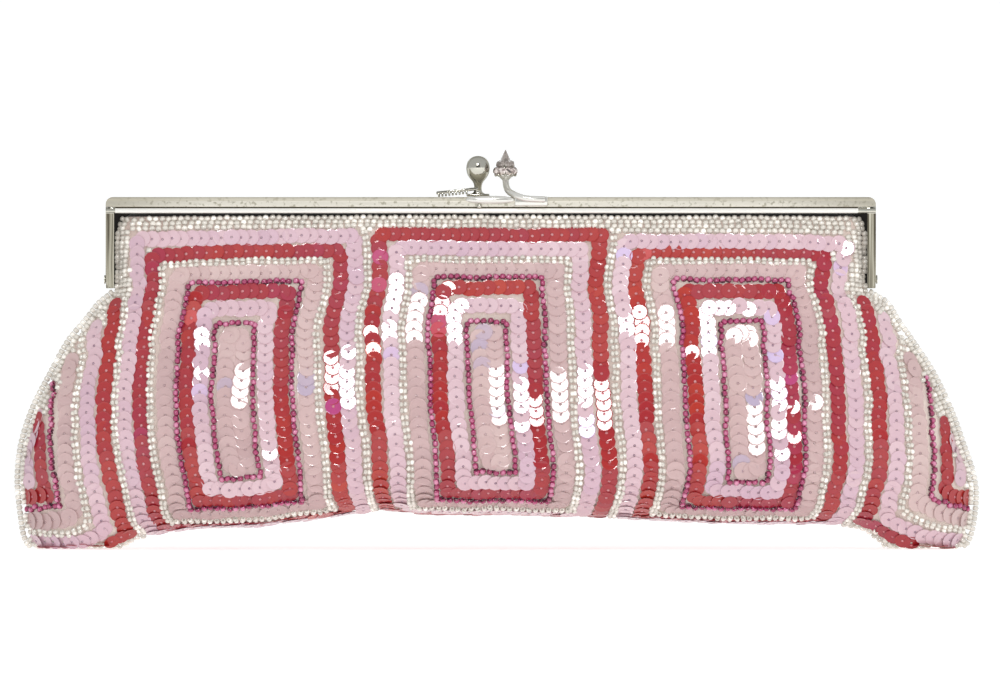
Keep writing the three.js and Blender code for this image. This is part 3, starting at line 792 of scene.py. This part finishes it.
def scatter(name, shape, places, turns, tones, smooth, lift=None):  # turns hold each copy's axes as columns
    points, faces = shape
    # lift, each point's height within its copy, drives the painted shade and highlight of the beads
    lift = points[:, 2] / points[:, 2].max() if lift is None else np.full(len(points), lift)
    count = len(places)
    moved = np.einsum("nij,vj->nvi", turns, points) + places[:, None, :]
    moved[..., 2] += np.maximum(0.00003 - moved[..., 2].min(axis=1), 0)[:, None]  # none dips under the floor
    joined = (faces[None] + (np.arange(count) * len(points))[:, None, None]).reshape(-1, faces.shape[1])
    return meshFrom(name, moved.reshape(-1, 3), joined, smooth, tone=np.repeat(tones, len(points)),
                    lift=np.tile(lift, count))


def unit(vectors):
    return vectors / np.maximum(np.linalg.norm(vectors, axis=-1, keepdims=True), 1e-12)


def astray(places, amount):  # a little off the line, less so in depth
    return places + dice.normal(size=places.shape) * amount * mm * [1, 0.3, 1]


def squareTo(axis, direction):
    return unit(direction - axis * np.sum(direction * axis, axis=1, keepdims=True))


def turned(line, facing):  # a line's places, its directions and the cloth's normals, on either half
    flip = np.array([1, facing, 1])
    return line["place"] * flip, line["along"] * flip, line["normal"] * flip


# Places on the front where sequins happen to lie square to the lamp: x, z, half width and half height in
# millimetres, then the share of them that does
flashes = [
    (-76.1, 50, 2.3, 6.5, 1.0), (-68.1, 27.3, 2.3, 2.0, 1.0), (-46.5, 48.5, 3.2, 12, 0.75),
    (-48, 55, 6, 6, 0.5), (-31.5, 74, 2.6, 15, 0.85), (-24.3, 69.5, 2.6, 9.5, 0.9),
    (-36.5, 66, 3.5, 7, 0.6), (-13.5, 70, 4.2, 8, 0.8), (-11, 65, 2.5, 8, 0.8), (-0.3, 45.5, 2.3, 9.5, 1.0),
    (7, 42, 2.6, 8, 0.85), (18.8, 47, 2.6, 7.5, 0.85), (26.3, 43.5, 2.4, 11.5, 0.95),
    (32.1, 43, 2.2, 7.5, 1.0), (38.7, 76.7, 2.0, 4.2, 1.0), (39.3, 66.7, 2.0, 3.8, 1.0),
    (38.4, 88, 2.0, 3.0, 0.6), (43.8, 66.8, 2.2, 6.8, 1.0), (51.4, 67, 2.3, 8.5, 1.0),
    (58.9, 58.5, 2.0, 2.2, 1.0), (63.1, 66, 2.2, 8.2, 0.95), (67.3, 71.6, 3.6, 1.8, 0.9),
    (75.6, 71.3, 1.6, 1.8, 1.0), (73.5, 63.3, 4.4, 2.2, 1.0), (75.9, 35.8, 2.3, 8.0, 1.0),
    (83.8, 39.8, 2.3, 12.5, 0.85), (88, 41.5, 2.0, 2.0, 1.0), (88, 34, 2.0, 2.0, 1.0),
    (94.1, 42.9, 2.2, 2.2, 1.0), (103.9, 89.3, 2.6, 2.6, 1.0), (-88.1, 63.5, 2.0, 3.6, 1.0),
    (-88.1, 52.8, 2.0, 2.0, 0.9), (-49.4, 52, 2.4, 6.5, 1.0), (11.4, 41, 2.2, 4.2, 1.0),
    (-36.6, 64.5, 2.2, 2.6, 1.0),

]


def squareToLamp(places):
    toLamp = unit(np.array(studio["keyPlace"]) - places)
    toEye = unit(np.array(studio["cameraPlace"]) - places)
    return unit(toLamp + toEye)


def turnsFor(line, facing, kind):
    place, along, normal = turned(line, facing)
    count, normal = len(place), unit(normal)
    along = squareTo(normal, along)
    side = np.cross(normal, along)
    lean = math.tan(math.radians(sequin["lean"]))
    spread = math.tan(math.radians(sequin["jitter"]))
    off = along * dice.normal(size=(count, 1)) + side * dice.normal(size=(count, 1))
    up = unit(normal + along * lean + off * spread)
    flashing, near = np.zeros(count, bool), np.zeros(count, bool)
    if facing > 0:
        x, z = place[:, 0] / mm, place[:, 2] / mm
        for px, pz, wide, high, share in flashes:
            inside = ((x - px) / wide) ** 2 + ((z - pz) / high) ** 2 < 1
            share *= sequin["redShare"] if kind == "R" and share < 1 else 1
            flashing |= inside & (dice.random(count) < share)
            roomX, roomZ = sequin["nearRoom"]
            near |= ((x - px) / (wide + roomX)) ** 2 + ((z - pz) / (high + roomZ)) ** 2 < 1
        square = squareToLamp(place)
        apart = up - square  # the others are turned far enough out of the lamp's way
        far = math.sin(math.radians(sequin["clearOfLamp"]))
        short = far / np.maximum(np.linalg.norm(apart, axis=1, keepdims=True), 1e-6)
        up = unit(square + apart * np.maximum(short, 1))
        facingLamp = unit(square + dice.normal(size=(count, 3)) * sequin["flashJitter"])
        up = np.where(flashing[:, None], facingLamp, up)
    front = squareTo(up, along)
    return place, np.stack([front, np.cross(up, front), up], -1), near


disc = modelSequin()
hues = {"P": "pearl_pink", "R": "cherry_red", "A": "pale_shell"}


def toneRun(count):  # a tone that drifts along the thread, with each sequin a little off it
    knots = np.arange(0, count + 9, 9)
    drift = np.interp(np.arange(count), knots, dice.random(len(knots)))
    return 0.12 + 0.88 * np.clip(0.65 * drift + 0.35 * dice.random(count), 0, 1)


# Tones under 0.12 go only to the sequins tinted near the flashes: their lilac, magenta and orange are painted
# iridescent sheen.
pearl = Finish("pearl pink sequin", Roughness=0.34, Coat_Weight=0.8, Coat_Roughness=0.08, Coat_IOR=1.6)
pearlTone = pearl.number("tone")
pearl.feed(Base_Color=pearl.ramp(pearlTone, [
    (0.0, tint("cdb8db")), (0.08, tint("d2b5d0")), (0.12, tint("c6a4b6")),
    (0.6, tint("d1b1b9")), (1.0, tint("dabfc6")),
]))
cherry = Finish("cherry red sequin", Roughness=0.4, Coat_Weight=0.6, Coat_Roughness=0.09, Coat_IOR=1.65)
cherry.shader.inputs["Specular IOR Level"].default_value = 0.3
cherryTone = cherry.number("tone")
cherry.feed(Base_Color=cherry.ramp(cherryTone, [
    (0.0, tint("c85038")), (0.04, tint("b03c7c")), (0.08, tint("aa3e6c")), (0.14, tint("a32446")),
    (0.3, tint("9c2235")), (0.55, tint("a02228")), (0.85, tint("ab2a22")), (1.0, tint("b93c24")),
]))
shell = Finish("pale shell sequin", Roughness=0.34, Coat_Weight=0.6, Coat_Roughness=0.08, Alpha=0.8)
shellTone = shell.number("tone")
shell.feed(Base_Color=shell.ramp(shellTone, [
    (0.0, tint("b9aac4")), (0.08, tint("c6b0be")), (0.12, tint("c6a8a8")),
    (0.5, tint("d0b2b1")), (1.0, tint("d8bfbb")),
]))
laid = {}
finishOf = {"P": pearl.material, "R": cherry.material, "A": shell.material}
for kind, hue in hues.items():
    for facing, half in ((1, "front"), (-1, "back")):
        found = [turnsFor(line, facing, kind) for line in lines[kind]]
        tones = np.concatenate([toneRun(len(line["place"])) for line in lines[kind]])
        near = np.concatenate([f[2] for f in found])
        # A share of the sequins near the flashes get those low tones: painted iridescent sheen.
        sheenTinted = near & (dice.random(len(tones)) < sequin["sheenTintShare"])
        tones = np.where(sheenTinted, 0.08 * dice.random(len(tones)), tones)
        places = astray(np.concatenate([f[0] for f in found]), sequin["shift"])
        turns = np.concatenate([f[1] for f in found])
        laid[kind, half] = places, turns
        made = scatter(f"sequins_{hue}_{half}", disc, places, turns * sequin["sizes"][kind], tones, False)
        settle(made, made.name, finishOf[kind], "beaded_cloth")
    print("sequins", hue, len(places), "a side")

# Stitches: a speck of thread shows in the hole of each sequin; on the pearl and shell sequins its greyish tint
# is painted shade of the hole
stitch = {"radius": 0.42, "height": 0.16, "P": "9d7f92", "R": "cc6c78", "A": "b5969a", "pale": "f0dcdc"}
speck = fresh(bpy.ops.mesh.primitive_uv_sphere_add, segments=6, ring_count=2, radius=stitch["radius"] * mm)
editAll()
bpy.ops.mesh.quads_convert_to_tris()
bpy.ops.transform.resize(value=(1, 1, stitch["height"] / stitch["radius"]))
editDone()
speck = takeShape(speck)
for kind, hue in hues.items():
    thread = Finish(hue + " thread", Roughness=0.6)
    thread.feed(Base_Color=thread.mix(thread.number("tone"), tint(stitch[kind]), tint(stitch["pale"])))
    for half in ("front", "back"):
        places, turns = laid[kind, half]
        made = scatter(f"stitches_{hue}_{half}", speck, places, turns, dice.random(len(places)) * 0.3, True)
        settle(made, made.name, thread.material, "beaded_cloth")
print("stitches laid")

# Seed beads
bead = {
    "radius": 0.98,
    "length": 1.42,
    "hole": 0.3,
    "sides": 7,
    "round": 5,
    "turn": 14,
    "tilt": 8,
    "shift": 0.1,
    "raspberry": 1.08,
}


def modelBead():
    ring = (bead["radius"] - bead["hole"]) / 2
    ringBead = fresh(
        bpy.ops.mesh.primitive_torus_add, major_segments=bead["sides"], minor_segments=bead["round"],
        major_radius=(bead["hole"] + ring) * mm, minor_radius=ring * mm,
    )
    editAll()
    bpy.ops.transform.resize(value=(1, 1, bead["length"] / (2 * ring)))
    bpy.ops.transform.rotate(value=math.pi / 2, orient_axis="X", center_override=(0, 0, 0))
    editDone()
    return takeShape(ringBead)


def beadTurns(line, facing):  # the hole lies across the line, in the cloth's plane
    place, along, normal = turned(line, facing)
    count = len(place)
    normal = unit(normal + dice.normal(size=(count, 3)) * math.radians(bead["tilt"]))
    along = squareTo(normal, along)
    side = np.cross(normal, along)
    turn = dice.normal(size=(count, 1)) * math.radians(bead["turn"])
    first = along * np.cos(turn) + side * np.sin(turn)
    return place, np.stack([first, np.cross(normal, first), normal], -1)


drop = modelBead()
# The clear beads glow faintly in their own colour: painted light that lifts the shade between them.
clear = Finish("silver lined clear bead", Metallic=0.1, Roughness=0.22, Coat_Weight=1.0, Coat_Roughness=0.04)
clear.shader.inputs["Emission Strength"].default_value = 0.17
# Lift, the height over the cloth within each bead, makes its foot darker and its top lighter: painted shade and
# highlight.
clearToneAndShade = clear.number("tone") * 0.7 + clear.number("lift") * 0.15 + 0.12
clearHue = clear.ramp(clearToneAndShade, [
    (0.0, tint("beb7ae")), (0.3, tint("c9c3ba")), (0.6, tint("d3cdc4")),
    (0.8, tint("dfd9d0")), (0.95, tint("fffbf4")),
])
clear.feed(Base_Color=clearHue, Emission_Color=clearHue)
raspberry = Finish("raspberry bead", Metallic=0.1, Roughness=0.2, Coat_Weight=1.0, Coat_Roughness=0.04)
# By lift each bead runs from a dark foot to a light pink top: painted shade and highlight.
raspberryToneAndShade = raspberry.number("tone") * 0.5 + raspberry.number("lift") * 0.5
raspberry.feed(Base_Color=raspberry.ramp(raspberryToneAndShade, [
    (0.0, tint("4c102e")), (0.35, tint("8a1f4c")), (0.65, tint("ac386a")), (0.95, tint("dd92b2")),
]))
for kind, hue, finish in (("M", "raspberry", raspberry), ("C", "clear", clear)):
    for facing, half in ((1, "front"), (-1, "back")):
        found = [beadTurns(line, facing) for line in lines[kind]]
        places = astray(np.concatenate([f[0] for f in found]), bead["shift"])
        turns = np.concatenate([f[1] * line.get("size", 1) for f, line in zip(found, lines[kind])])
        turns = turns * (bead["raspberry"] if kind == "M" else 1)
        made = scatter(f"beads_{hue}_{half}", drop, places, turns, dice.random(len(places)), True)
        settle(made, made.name, finish.material, "seed_beads")
    print("beads", hue, len(places), "a side")

# Frame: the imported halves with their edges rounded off
metal = {
    "tint": "d6d4ca",
    "dull": "bdb9ab",
    "edgeOn": "8f8d84",
    "roughness": 0.14,
    "edge": 0.16,
    "angle": 50,
    "pinEdge": 0.08,
    "band": 0.1015,
    "topEdge": 0.1032,
    "roll": (0.0995, 0.1011, 0.0056),
    "rollEnds": (-0.1130, 0.1072),
    "softEnds": 0.085,
    "paintedHighlight": "fbfaf7",
    "specks": [(0.33, "aea895"), (0.44, "e9e4d7")],
    # Stops of the arms' streaks: painted reflections.
    "armReflectionStops": [(0.36, "4c463a"), (0.47, "948f80"), (0.62, "c2beae")],
    "endTint": "a39d8c",
    # Darker colour of the top edge: painted shade.
    "topEdgeShade": "b3ad9c",
    # Near-white colour of the roll: a painted highlight.
    "rollHighlight": "efede7",
    # Dark colour of the groove: painted shade.
    "grooveShade": "5a5142",
}


def stopsOf(pairs):
    return [(place, tint(code)) for place, code in pairs]


def nickelFinish(name, zoned, metallic=1.0):
    finish = Finish(name, Metallic=metallic)
    finish.shader.inputs["Specular Tint"].default_value = tint(metal["edgeOn"])
    colour = finish.mix(finish.noise(70, 5), tint(metal["dull"]), tint(metal["tint"]))
    roughness = finish.noise(260, 5) * 0.1 + (metal["roughness"] - 0.04)
    # Below full metallic, near white is mixed in: a painted highlight, used on the clasp's stem, plate and pad.
    if metallic < 1:
        colour = finish.mix(0.5, colour, tint(metal["paintedHighlight"]))
    if zoned:  # roll, groove, band and arms are coloured by zone: a painted highlight on the roll, painted shade in the groove and on the top edge, painted reflections on the arms
        x, y, z = (finish.axis(letter) for letter in "XYZ")
        low, high, deep = metal["roll"]
        start, end = metal["rollEnds"]
        along = (x > start) * (1 - (x > end)) * (abs(y) > deep)
        roll = (z > low) * (1 - (z > high)) * along
        groove = (z > high) * (1 - (z > metal["band"])) * along
        band, topEdge = z > metal["band"], z > metal["topEdge"]
        specks = finish.ramp(finish.noise(900, 6), stopsOf(metal["specks"]))
        fromMiddle = abs(x - mm * frameMiddle)
        ends = finish.node("Math", {"operation": "MULTIPLY", "use_clamp": True}, {
            0: fromMiddle - metal["softEnds"], 1: 40.0})
        colour = finish.mix(band, colour, finish.mix(0.8, colour, specks))
        colour = finish.mix(band * ends * 0.6, colour, tint(metal["endTint"]))
        # The top edge is darker: painted shade.
        colour = finish.mix(topEdge * 0.6, colour, tint(metal["topEdgeShade"]))
        # The roll is near white and, below, less metallic: a painted highlight.
        colour = finish.mix(roll, colour, tint(metal["rollHighlight"]))
        # The groove is painted dark: painted shade in the recess above the roll.
        colour = finish.mix(groove, colour, tint(metal["grooveShade"]))
        # Stretched streaks on the arms below the roll: painted reflections.
        stretched = finish.node("Mapping", {}, {"Vector": finish.spot(), "Scale": (1500, 300, 25)})
        arms = finish.ramp(finish.noise(1.0, 3, stretched), stopsOf(metal["armReflectionStops"]))
        colour = finish.mix(1 - (z > low), colour, arms)
        roughness = roughness + band * 0.22 + topEdge * 0.3
        finish.feed(Metallic=1 - band * 0.35 - roll * 0.75 - topEdge * 0.3)
    return finish.feed(Base_Color=colour, Roughness=roughness)


nickel = nickelFinish("nickel plate", False)
nickelBar = nickelFinish("nickel bar", True)
# Nickel with a painted highlight, for the stem, plate and pad.
paintedHighlight = nickelFinish("highlight-painted nickel", False, 0.6)


def rounded(node, material, width):
    copy = nodes[node].copy()
    copy.data = nodes[node].data.copy()
    copy.parent = None
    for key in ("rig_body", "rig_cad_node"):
        del copy[key]
    pick(link(copy))
    editAll()
    bpy.ops.mesh.remove_doubles(threshold=0.00001)
    bpy.ops.mesh.dissolve_limited(angle_limit=math.radians(1))
    editDone()
    sharp = math.radians(metal["angle"])
    finishWith(copy, "BEVEL", width=width * mm, segments=2, limit_method="ANGLE", angle_limit=sharp)
    settle(smoothBy(copy, metal["angle"]), node + "_metal", material, "nickel", node)


for node in ("front_frame", "back_frame"):
    rounded(node, nickelBar, metal["edge"])
for node in ("hinge_pin_left", "hinge_pin_right", "clasp_rivet"):
    rounded(node, nickel, metal["pinEdge"])
print("metal parts rounded")

# Clasp: plain knob on its leaf, and the stone-set knob on its curved stem
clasp = {
    "knobX": -5.5,
    "knobY": 3.2,
    "knobFoot": 104.9,
    "knobLean": 14,
    "knobProfile": [
        (2.3, 0), (2.3, 0.5), (1.45, 0.85), (1.05, 1.6), (1.1, 3.2), (1.5, 4.4), (2.5, 5.4), (3.2, 6.6),
        (3.5, 7.9), (3.5, 9.0), (3.25, 10.1), (2.6, 11.1), (1.7, 11.75), (0.7, 12.05),
    ],
    "leafEnd": -17.9,
    "leafTop": (106.2, 107.5),
    "leafWidth": 4.4,
    "leafThick": 0.9,
    "ridges": 9,
    "ridgeStart": 0.5,
    "ridgeStep": 1.02,
    "ridgeWidth": 0.62,
    "base": (3.4, 2.4, 104.7, 105.5),
    "stoneX": 2.67,
    "stemRadius": 0.98,
    "stem": [
        (2.7, 0, 110.4), (2.75, -0.4, 109.0), (2.95, -1.6, 107.5), (3.6, -3.6, 106.2), (4.9, -5.7, 105.3),
        (6.4, -7.2, 104.6), (8.0, -7.75, 104.05), (10.0, -7.85, 103.8), (12.4, -7.8, 103.7),
        (14.3, -7.6, 103.65),
    ],
    "plate": (5.4, 15.2, 101.75, 104.55),
    "plateThick": 0.95,
    "padThick": 1.1,
    "padFullness": 0.8,
    "cupFoot": 109.3,
    "pad": (-9.2, 5.6, 102.3, 104.75),
    "cup": [(0.7, 0), (1.2, 0.4), (1.8, 1.0), (2.15, 1.5), (2.15, 1.75), (0.6, 1.8)],
}


def turnOnAxis(profile, sides):  # a closed turned piece from radius and height pairs, standing on the origin
    fresh(bpy.ops.mesh.primitive_circle_add, vertices=sides, radius=profile[0][0] * mm, fill_type="NGON")
    bpy.ops.object.mode_set(mode="EDIT")
    for (before, low), (after, high) in zip(profile, profile[1:]):
        bpy.ops.mesh.extrude_region_move(TRANSFORM_OT_translate={"value": (0, 0, (high - low) * mm)})
        bpy.ops.transform.resize(value=(after / before, after / before, 1))
    return closeUp()


def slab(x0, x1, y0, y1, z0, z1, edge, segments=3):
    middle = ((x0 + x1) / 2 * mm, (y0 + y1) / 2 * mm, (z0 + z1) / 2 * mm)
    block = fresh(bpy.ops.mesh.primitive_cube_add, size=1, location=middle)
    block.scale = ((x1 - x0) * mm, (y1 - y0) * mm, (z1 - z0) * mm)
    bpy.ops.object.transform_apply(location=False, rotation=False, scale=True)
    return finishWith(block, "BEVEL", width=edge * mm, segments=segments)


def join(things):
    pick(things[0])
    for thing in things:
        thing.select_set(True)
    bpy.ops.object.join()
    return bpy.context.object


knob = turnOnAxis(clasp["knobProfile"], 40)
finishWith(knob, "SUBSURF", levels=1, render_levels=1)
knob.rotation_euler = (math.radians(clasp["knobLean"]), 0, 0)
knob.location = (clasp["knobX"] * mm, clasp["knobY"] * mm, clasp["knobFoot"] * mm)
settle(smoothBy(knob, 60), "plain_knob", nickel, "nickel", "back_clasp_arm")

low, high = clasp["leafTop"]
wide = clasp["leafWidth"] / 2
under = low - clasp["leafThick"]


def climb(x):  # the leaf climbs towards the knob
    return (high - low) * (x - clasp["leafEnd"]) / (clasp["knobX"] - clasp["leafEnd"])


leaf = slab(clasp["leafEnd"], clasp["knobX"], clasp["knobY"] - wide, clasp["knobY"] + wide, under, low, 0.25)
for vertex in leaf.data.vertices:
    vertex.co.z += climb((vertex.co.x + leaf.location.x) / mm) * mm
teeth = []
for k in range(clasp["ridges"]):
    x = clasp["leafEnd"] + clasp["ridgeStart"] + k * clasp["ridgeStep"]
    z = under + climb(x)
    teeth.append(slab(x, x + clasp["ridgeWidth"], clasp["knobY"] - wide - 0.15, clasp["knobY"] + wide,
                      z - 0.75, z + 0.2, 0.15, 2))
reachX, reachY, z0, z1 = clasp["base"]
base = slab(clasp["knobX"] - reachX, clasp["knobX"] + reachX,
            clasp["knobY"] - reachY, clasp["knobY"] + reachY, z0, z1, 0.3)
leaf = join([leaf, base, *teeth])
settle(smoothBy(leaf, 40), "ridged_leaf", nickel, "nickel", "back_clasp_arm")

route = bpy.data.curves.new("stem", "CURVE")
route.dimensions, route.bevel_depth, route.bevel_resolution = "3D", clasp["stemRadius"] * mm, 5
route.use_fill_caps, route.resolution_u = True, 6
spline = route.splines.new("BEZIER")
spline.bezier_points.add(len(clasp["stem"]) - 1)
for point, place in zip(spline.bezier_points, clasp["stem"]):
    point.co = [c * mm for c in place]
    point.handle_left_type = point.handle_right_type = "AUTO"
pick(link(bpy.data.objects.new("stem", route)))
bpy.ops.object.convert(target="MESH")
stem = bpy.context.object
face = -bag["frameHalfDepth"] - bag["clearance"]
x0, x1, z0, z1 = clasp["plate"]
plate = slab(x0, x1, face - clasp["plateThick"], face, z0, z1, 0.4)
cup = turnOnAxis(clasp["cup"], 20)
cup.location = (clasp["stoneX"] * mm, 0, clasp["cupFoot"] * mm)
bpy.ops.object.transform_apply(location=True)
arm = join([plate, stem, cup])
settle(smoothBy(arm, 45), "stone_stem", paintedHighlight, "nickel", "front_clasp_arm")

x0, x1, z0, z1 = clasp["pad"]
pad = fresh(bpy.ops.mesh.primitive_uv_sphere_add, segments=40, ring_count=20, radius=1)
for vertex in pad.data.vertices:  # a flat-backed oval dome
    vertex.co.y = min(vertex.co.y, 0)
    vertex.co.x = math.copysign(abs(vertex.co.x) ** clasp["padFullness"], vertex.co.x)
pad.scale = ((x1 - x0) / 2 * mm, clasp["padThick"] * mm, (z1 - z0) / 2 * mm)
pad.location = ((x0 + x1) / 2 * mm, face * mm, (z0 + z1) / 2 * mm)
settle(smoothBy(pad, 50), "oval_pad", paintedHighlight, "nickel", "front_clasp_arm")

# Stones: facets are left flat
stones = {
    "rows": [(0, 2.95, 112.0, 1.35, 8), (22, 2.05, 114.0, 1.2, 6)],
    "tip": (1.75, 114.6, 118.5),
    "claw": 0.5,
    "clawTuck": 0.1,
    "shade": "7d736a",
    "shadeOver": 0.1130,
    "coreFoot": 110.7,
    "core": [(0.8, 0), (2.0, 0.8), (2.4, 2.0), (1.9, 3.4), (1.2, 4.6), (0.5, 5.2)],
    "facets": 8,
}
gem = Finish(
    "faceted stone", Metallic=0.25, Roughness=0.06, Coat_Weight=1.0, Coat_Roughness=0.02, Coat_IOR=1.9,
)
# Speckle on the facets from near black to near white: the stones' pinkish brown with painted reflections.
gemHueAndSparkle = gem.ramp(gem.noise(850, 1), [
    (0.36, tint("4f4843")), (0.45, tint("a8958d")), (0.54, tint("efe4de")), (0.64, tint("8f7d77")),
])
upper = gem.axis("Z") > stones["shadeOver"]
gem.feed(Base_Color=gem.mix(upper * 0.72, gemHueAndSparkle, tint(stones["shade"])))


def stone(x, y, z, radius, outwardAngle, tip):  # table, crown and pointed back, or a tall point
    reached = 0.3
    table = radius * reached * mm
    fresh(bpy.ops.mesh.primitive_circle_add, vertices=stones["facets"], radius=table, fill_type="NGON")
    bpy.ops.object.mode_set(mode="EDIT")
    steps = [(1.0, 0.75), (1.0, 0.2), (0.6, 0.5)] if tip is None else [(1.0, 0.9), (1.0, 0.2), (0.08, tip)]
    for size, rise in steps:
        bpy.ops.mesh.extrude_region_move(TRANSFORM_OT_translate={"value": (0, 0, rise * radius * mm)})
        bpy.ops.transform.resize(value=(size / reached, size / reached, 1))
        reached = size
    cut = closeUp()
    if tip is None:
        cut.rotation_euler = (0, math.radians(78), outwardAngle)
    cut.location = (x * mm, y * mm, z * mm)
    bpy.ops.object.transform_apply(location=True, rotation=True, scale=True)
    return cut


cut, claws = [], []
for start, reach, z, radius, count in stones["rows"]:
    for k in range(count):
        angle = math.radians(start) + 2 * math.pi * (k + 0.5) / count
        inner = reach - radius * 0.9
        x = clasp["stoneX"] + inner * math.cos(angle)
        cut.append(stone(x, inner * math.sin(angle), z, radius, angle, None))
        between, out = angle + math.pi / count, reach - stones["clawTuck"]
        claw = fresh(bpy.ops.mesh.primitive_ico_sphere_add, subdivisions=2, radius=stones["claw"] * mm)
        claw.location = ((clasp["stoneX"] + out * math.cos(between)) * mm, out * math.sin(between) * mm,
                         (z - radius * 0.7) * mm)
        bpy.ops.object.transform_apply(location=True)
        claws.append(claw)
radius, low, high = stones["tip"]
cut.append(stone(clasp["stoneX"], 0, low - radius * 0.9, radius, 0, (high - low - 0.2 * radius) / radius))
settle(join(cut), "stones", gem.material, "crystal", "crystal_knob")
core = turnOnAxis(stones["core"], 20)
core.location = (clasp["stoneX"] * mm, 0, stones["coreFoot"] * mm)
bpy.ops.object.transform_apply(location=True)
settle(smoothBy(join([core, *claws]), 50), "stone_setting", nickel, "nickel", "crystal_knob")
print("clasp made")

# Channel shade: a dark strip inside each arm is painted shade standing in for the shadow in the channel, seen
# in the gap beside the cloth
channelShadeStrip = {"thickness": 0.5, "steps": 24, "tuck": 1.6, "tint": "0d0a09", "lighterShade": "1d1815"}
channelShadeFinish = Finish("dark binding", Roughness=0.8)
channelShadeFinish.feed(Base_Color=channelShadeFinish.mix(channelShadeFinish.noise(900), tint(channelShadeStrip["tint"]), tint(channelShadeStrip["lighterShade"])))
for side, name in ((-1, "left"), (1, "right")):
    z = np.linspace(armEnd + 1.2, barBottom + 1.5, channelShadeStrip["steps"])
    inner = clothEdge(side, z) - side * channelShadeStrip["tuck"]
    outer = np.full_like(z, frameMiddle + side * (frameHalf - bag["armWidth"] * 0.55))
    half = channelShadeStrip["thickness"] / 2
    corners = [np.stack([x, np.full_like(z, y), z], -1) for x, y in
               ((inner, -half), (outer, -half), (outer, half), (inner, half))]
    points = np.stack(corners, 1).reshape(-1, 3) * mm
    ring = np.array([[k, (k + 1) % 4, (k + 1) % 4 + 4, k + 4] for k in range(4)])
    quads = (ring[None] + 4 * np.arange(channelShadeStrip["steps"] - 1)[:, None, None]).reshape(-1, 4)
    top = 4 * (channelShadeStrip["steps"] - 1)
    quads = np.concatenate([quads, [[3, 2, 1, 0], [top, top + 1, top + 2, top + 3]]])
    tape = meshFrom("binding_" + name, points, quads[:, ::-1] if side < 0 else quads, False)
    settle(tape, "binding_" + name, channelShadeFinish.material, "beaded_cloth")

# Edging: a string of clear beads along each side seam
# lift fixes the painted shade and highlight of the edging beads at one level.
edging = {"gap": 4, "steps": 60, "tuck": 0.12, "pitch": 1.05, "lift": 0.6}


def edgingLine(side):
    start = 1 - (armEnd - bag["edgingDiameter"]) / rim
    end = 1 - edging["gap"] * bag["edgingDiameter"] / rim
    down = np.linspace(start, end, edging["steps"])
    edge = pouchPoint(np.full_like(down, side), down, 0)
    edge[:, 1] = 0
    along = np.gradient(edge, axis=0)
    out = unit(np.stack([-along[:, 2], np.zeros_like(down), along[:, 0]], -1)) * side
    centre = edge + out * (edgingSpace - bag["edgingDiameter"] / 2 - edging["tuck"]) * mm
    run = np.concatenate([[0], np.cumsum(np.linalg.norm(np.diff(centre, axis=0), axis=1))])
    count = int(run[-1] / (bead["length"] * edging["pitch"] * mm))
    stops = np.linspace(0, run[-1], count)
    place = np.stack([np.interp(stops, run, centre[:, k]) for k in range(3)], -1)
    direction = unit(np.stack([np.interp(stops, run, along[:, k]) for k in range(3)], -1))
    outwardAt = unit(np.cross(direction, [0, 1, 0]))
    return place, np.stack([outwardAt, direction, np.cross(outwardAt, direction)], -1)


for side, name in ((-1, "left"), (1, "right")):
    place, turns = edgingLine(side)
    string = scatter("edging_" + name, drop, place, turns, dice.random(len(place)), True, edging["lift"])
    settle(string, "edging_" + name, clear.material, "seed_beads", "side_edging_" + name)
print("edging strung")
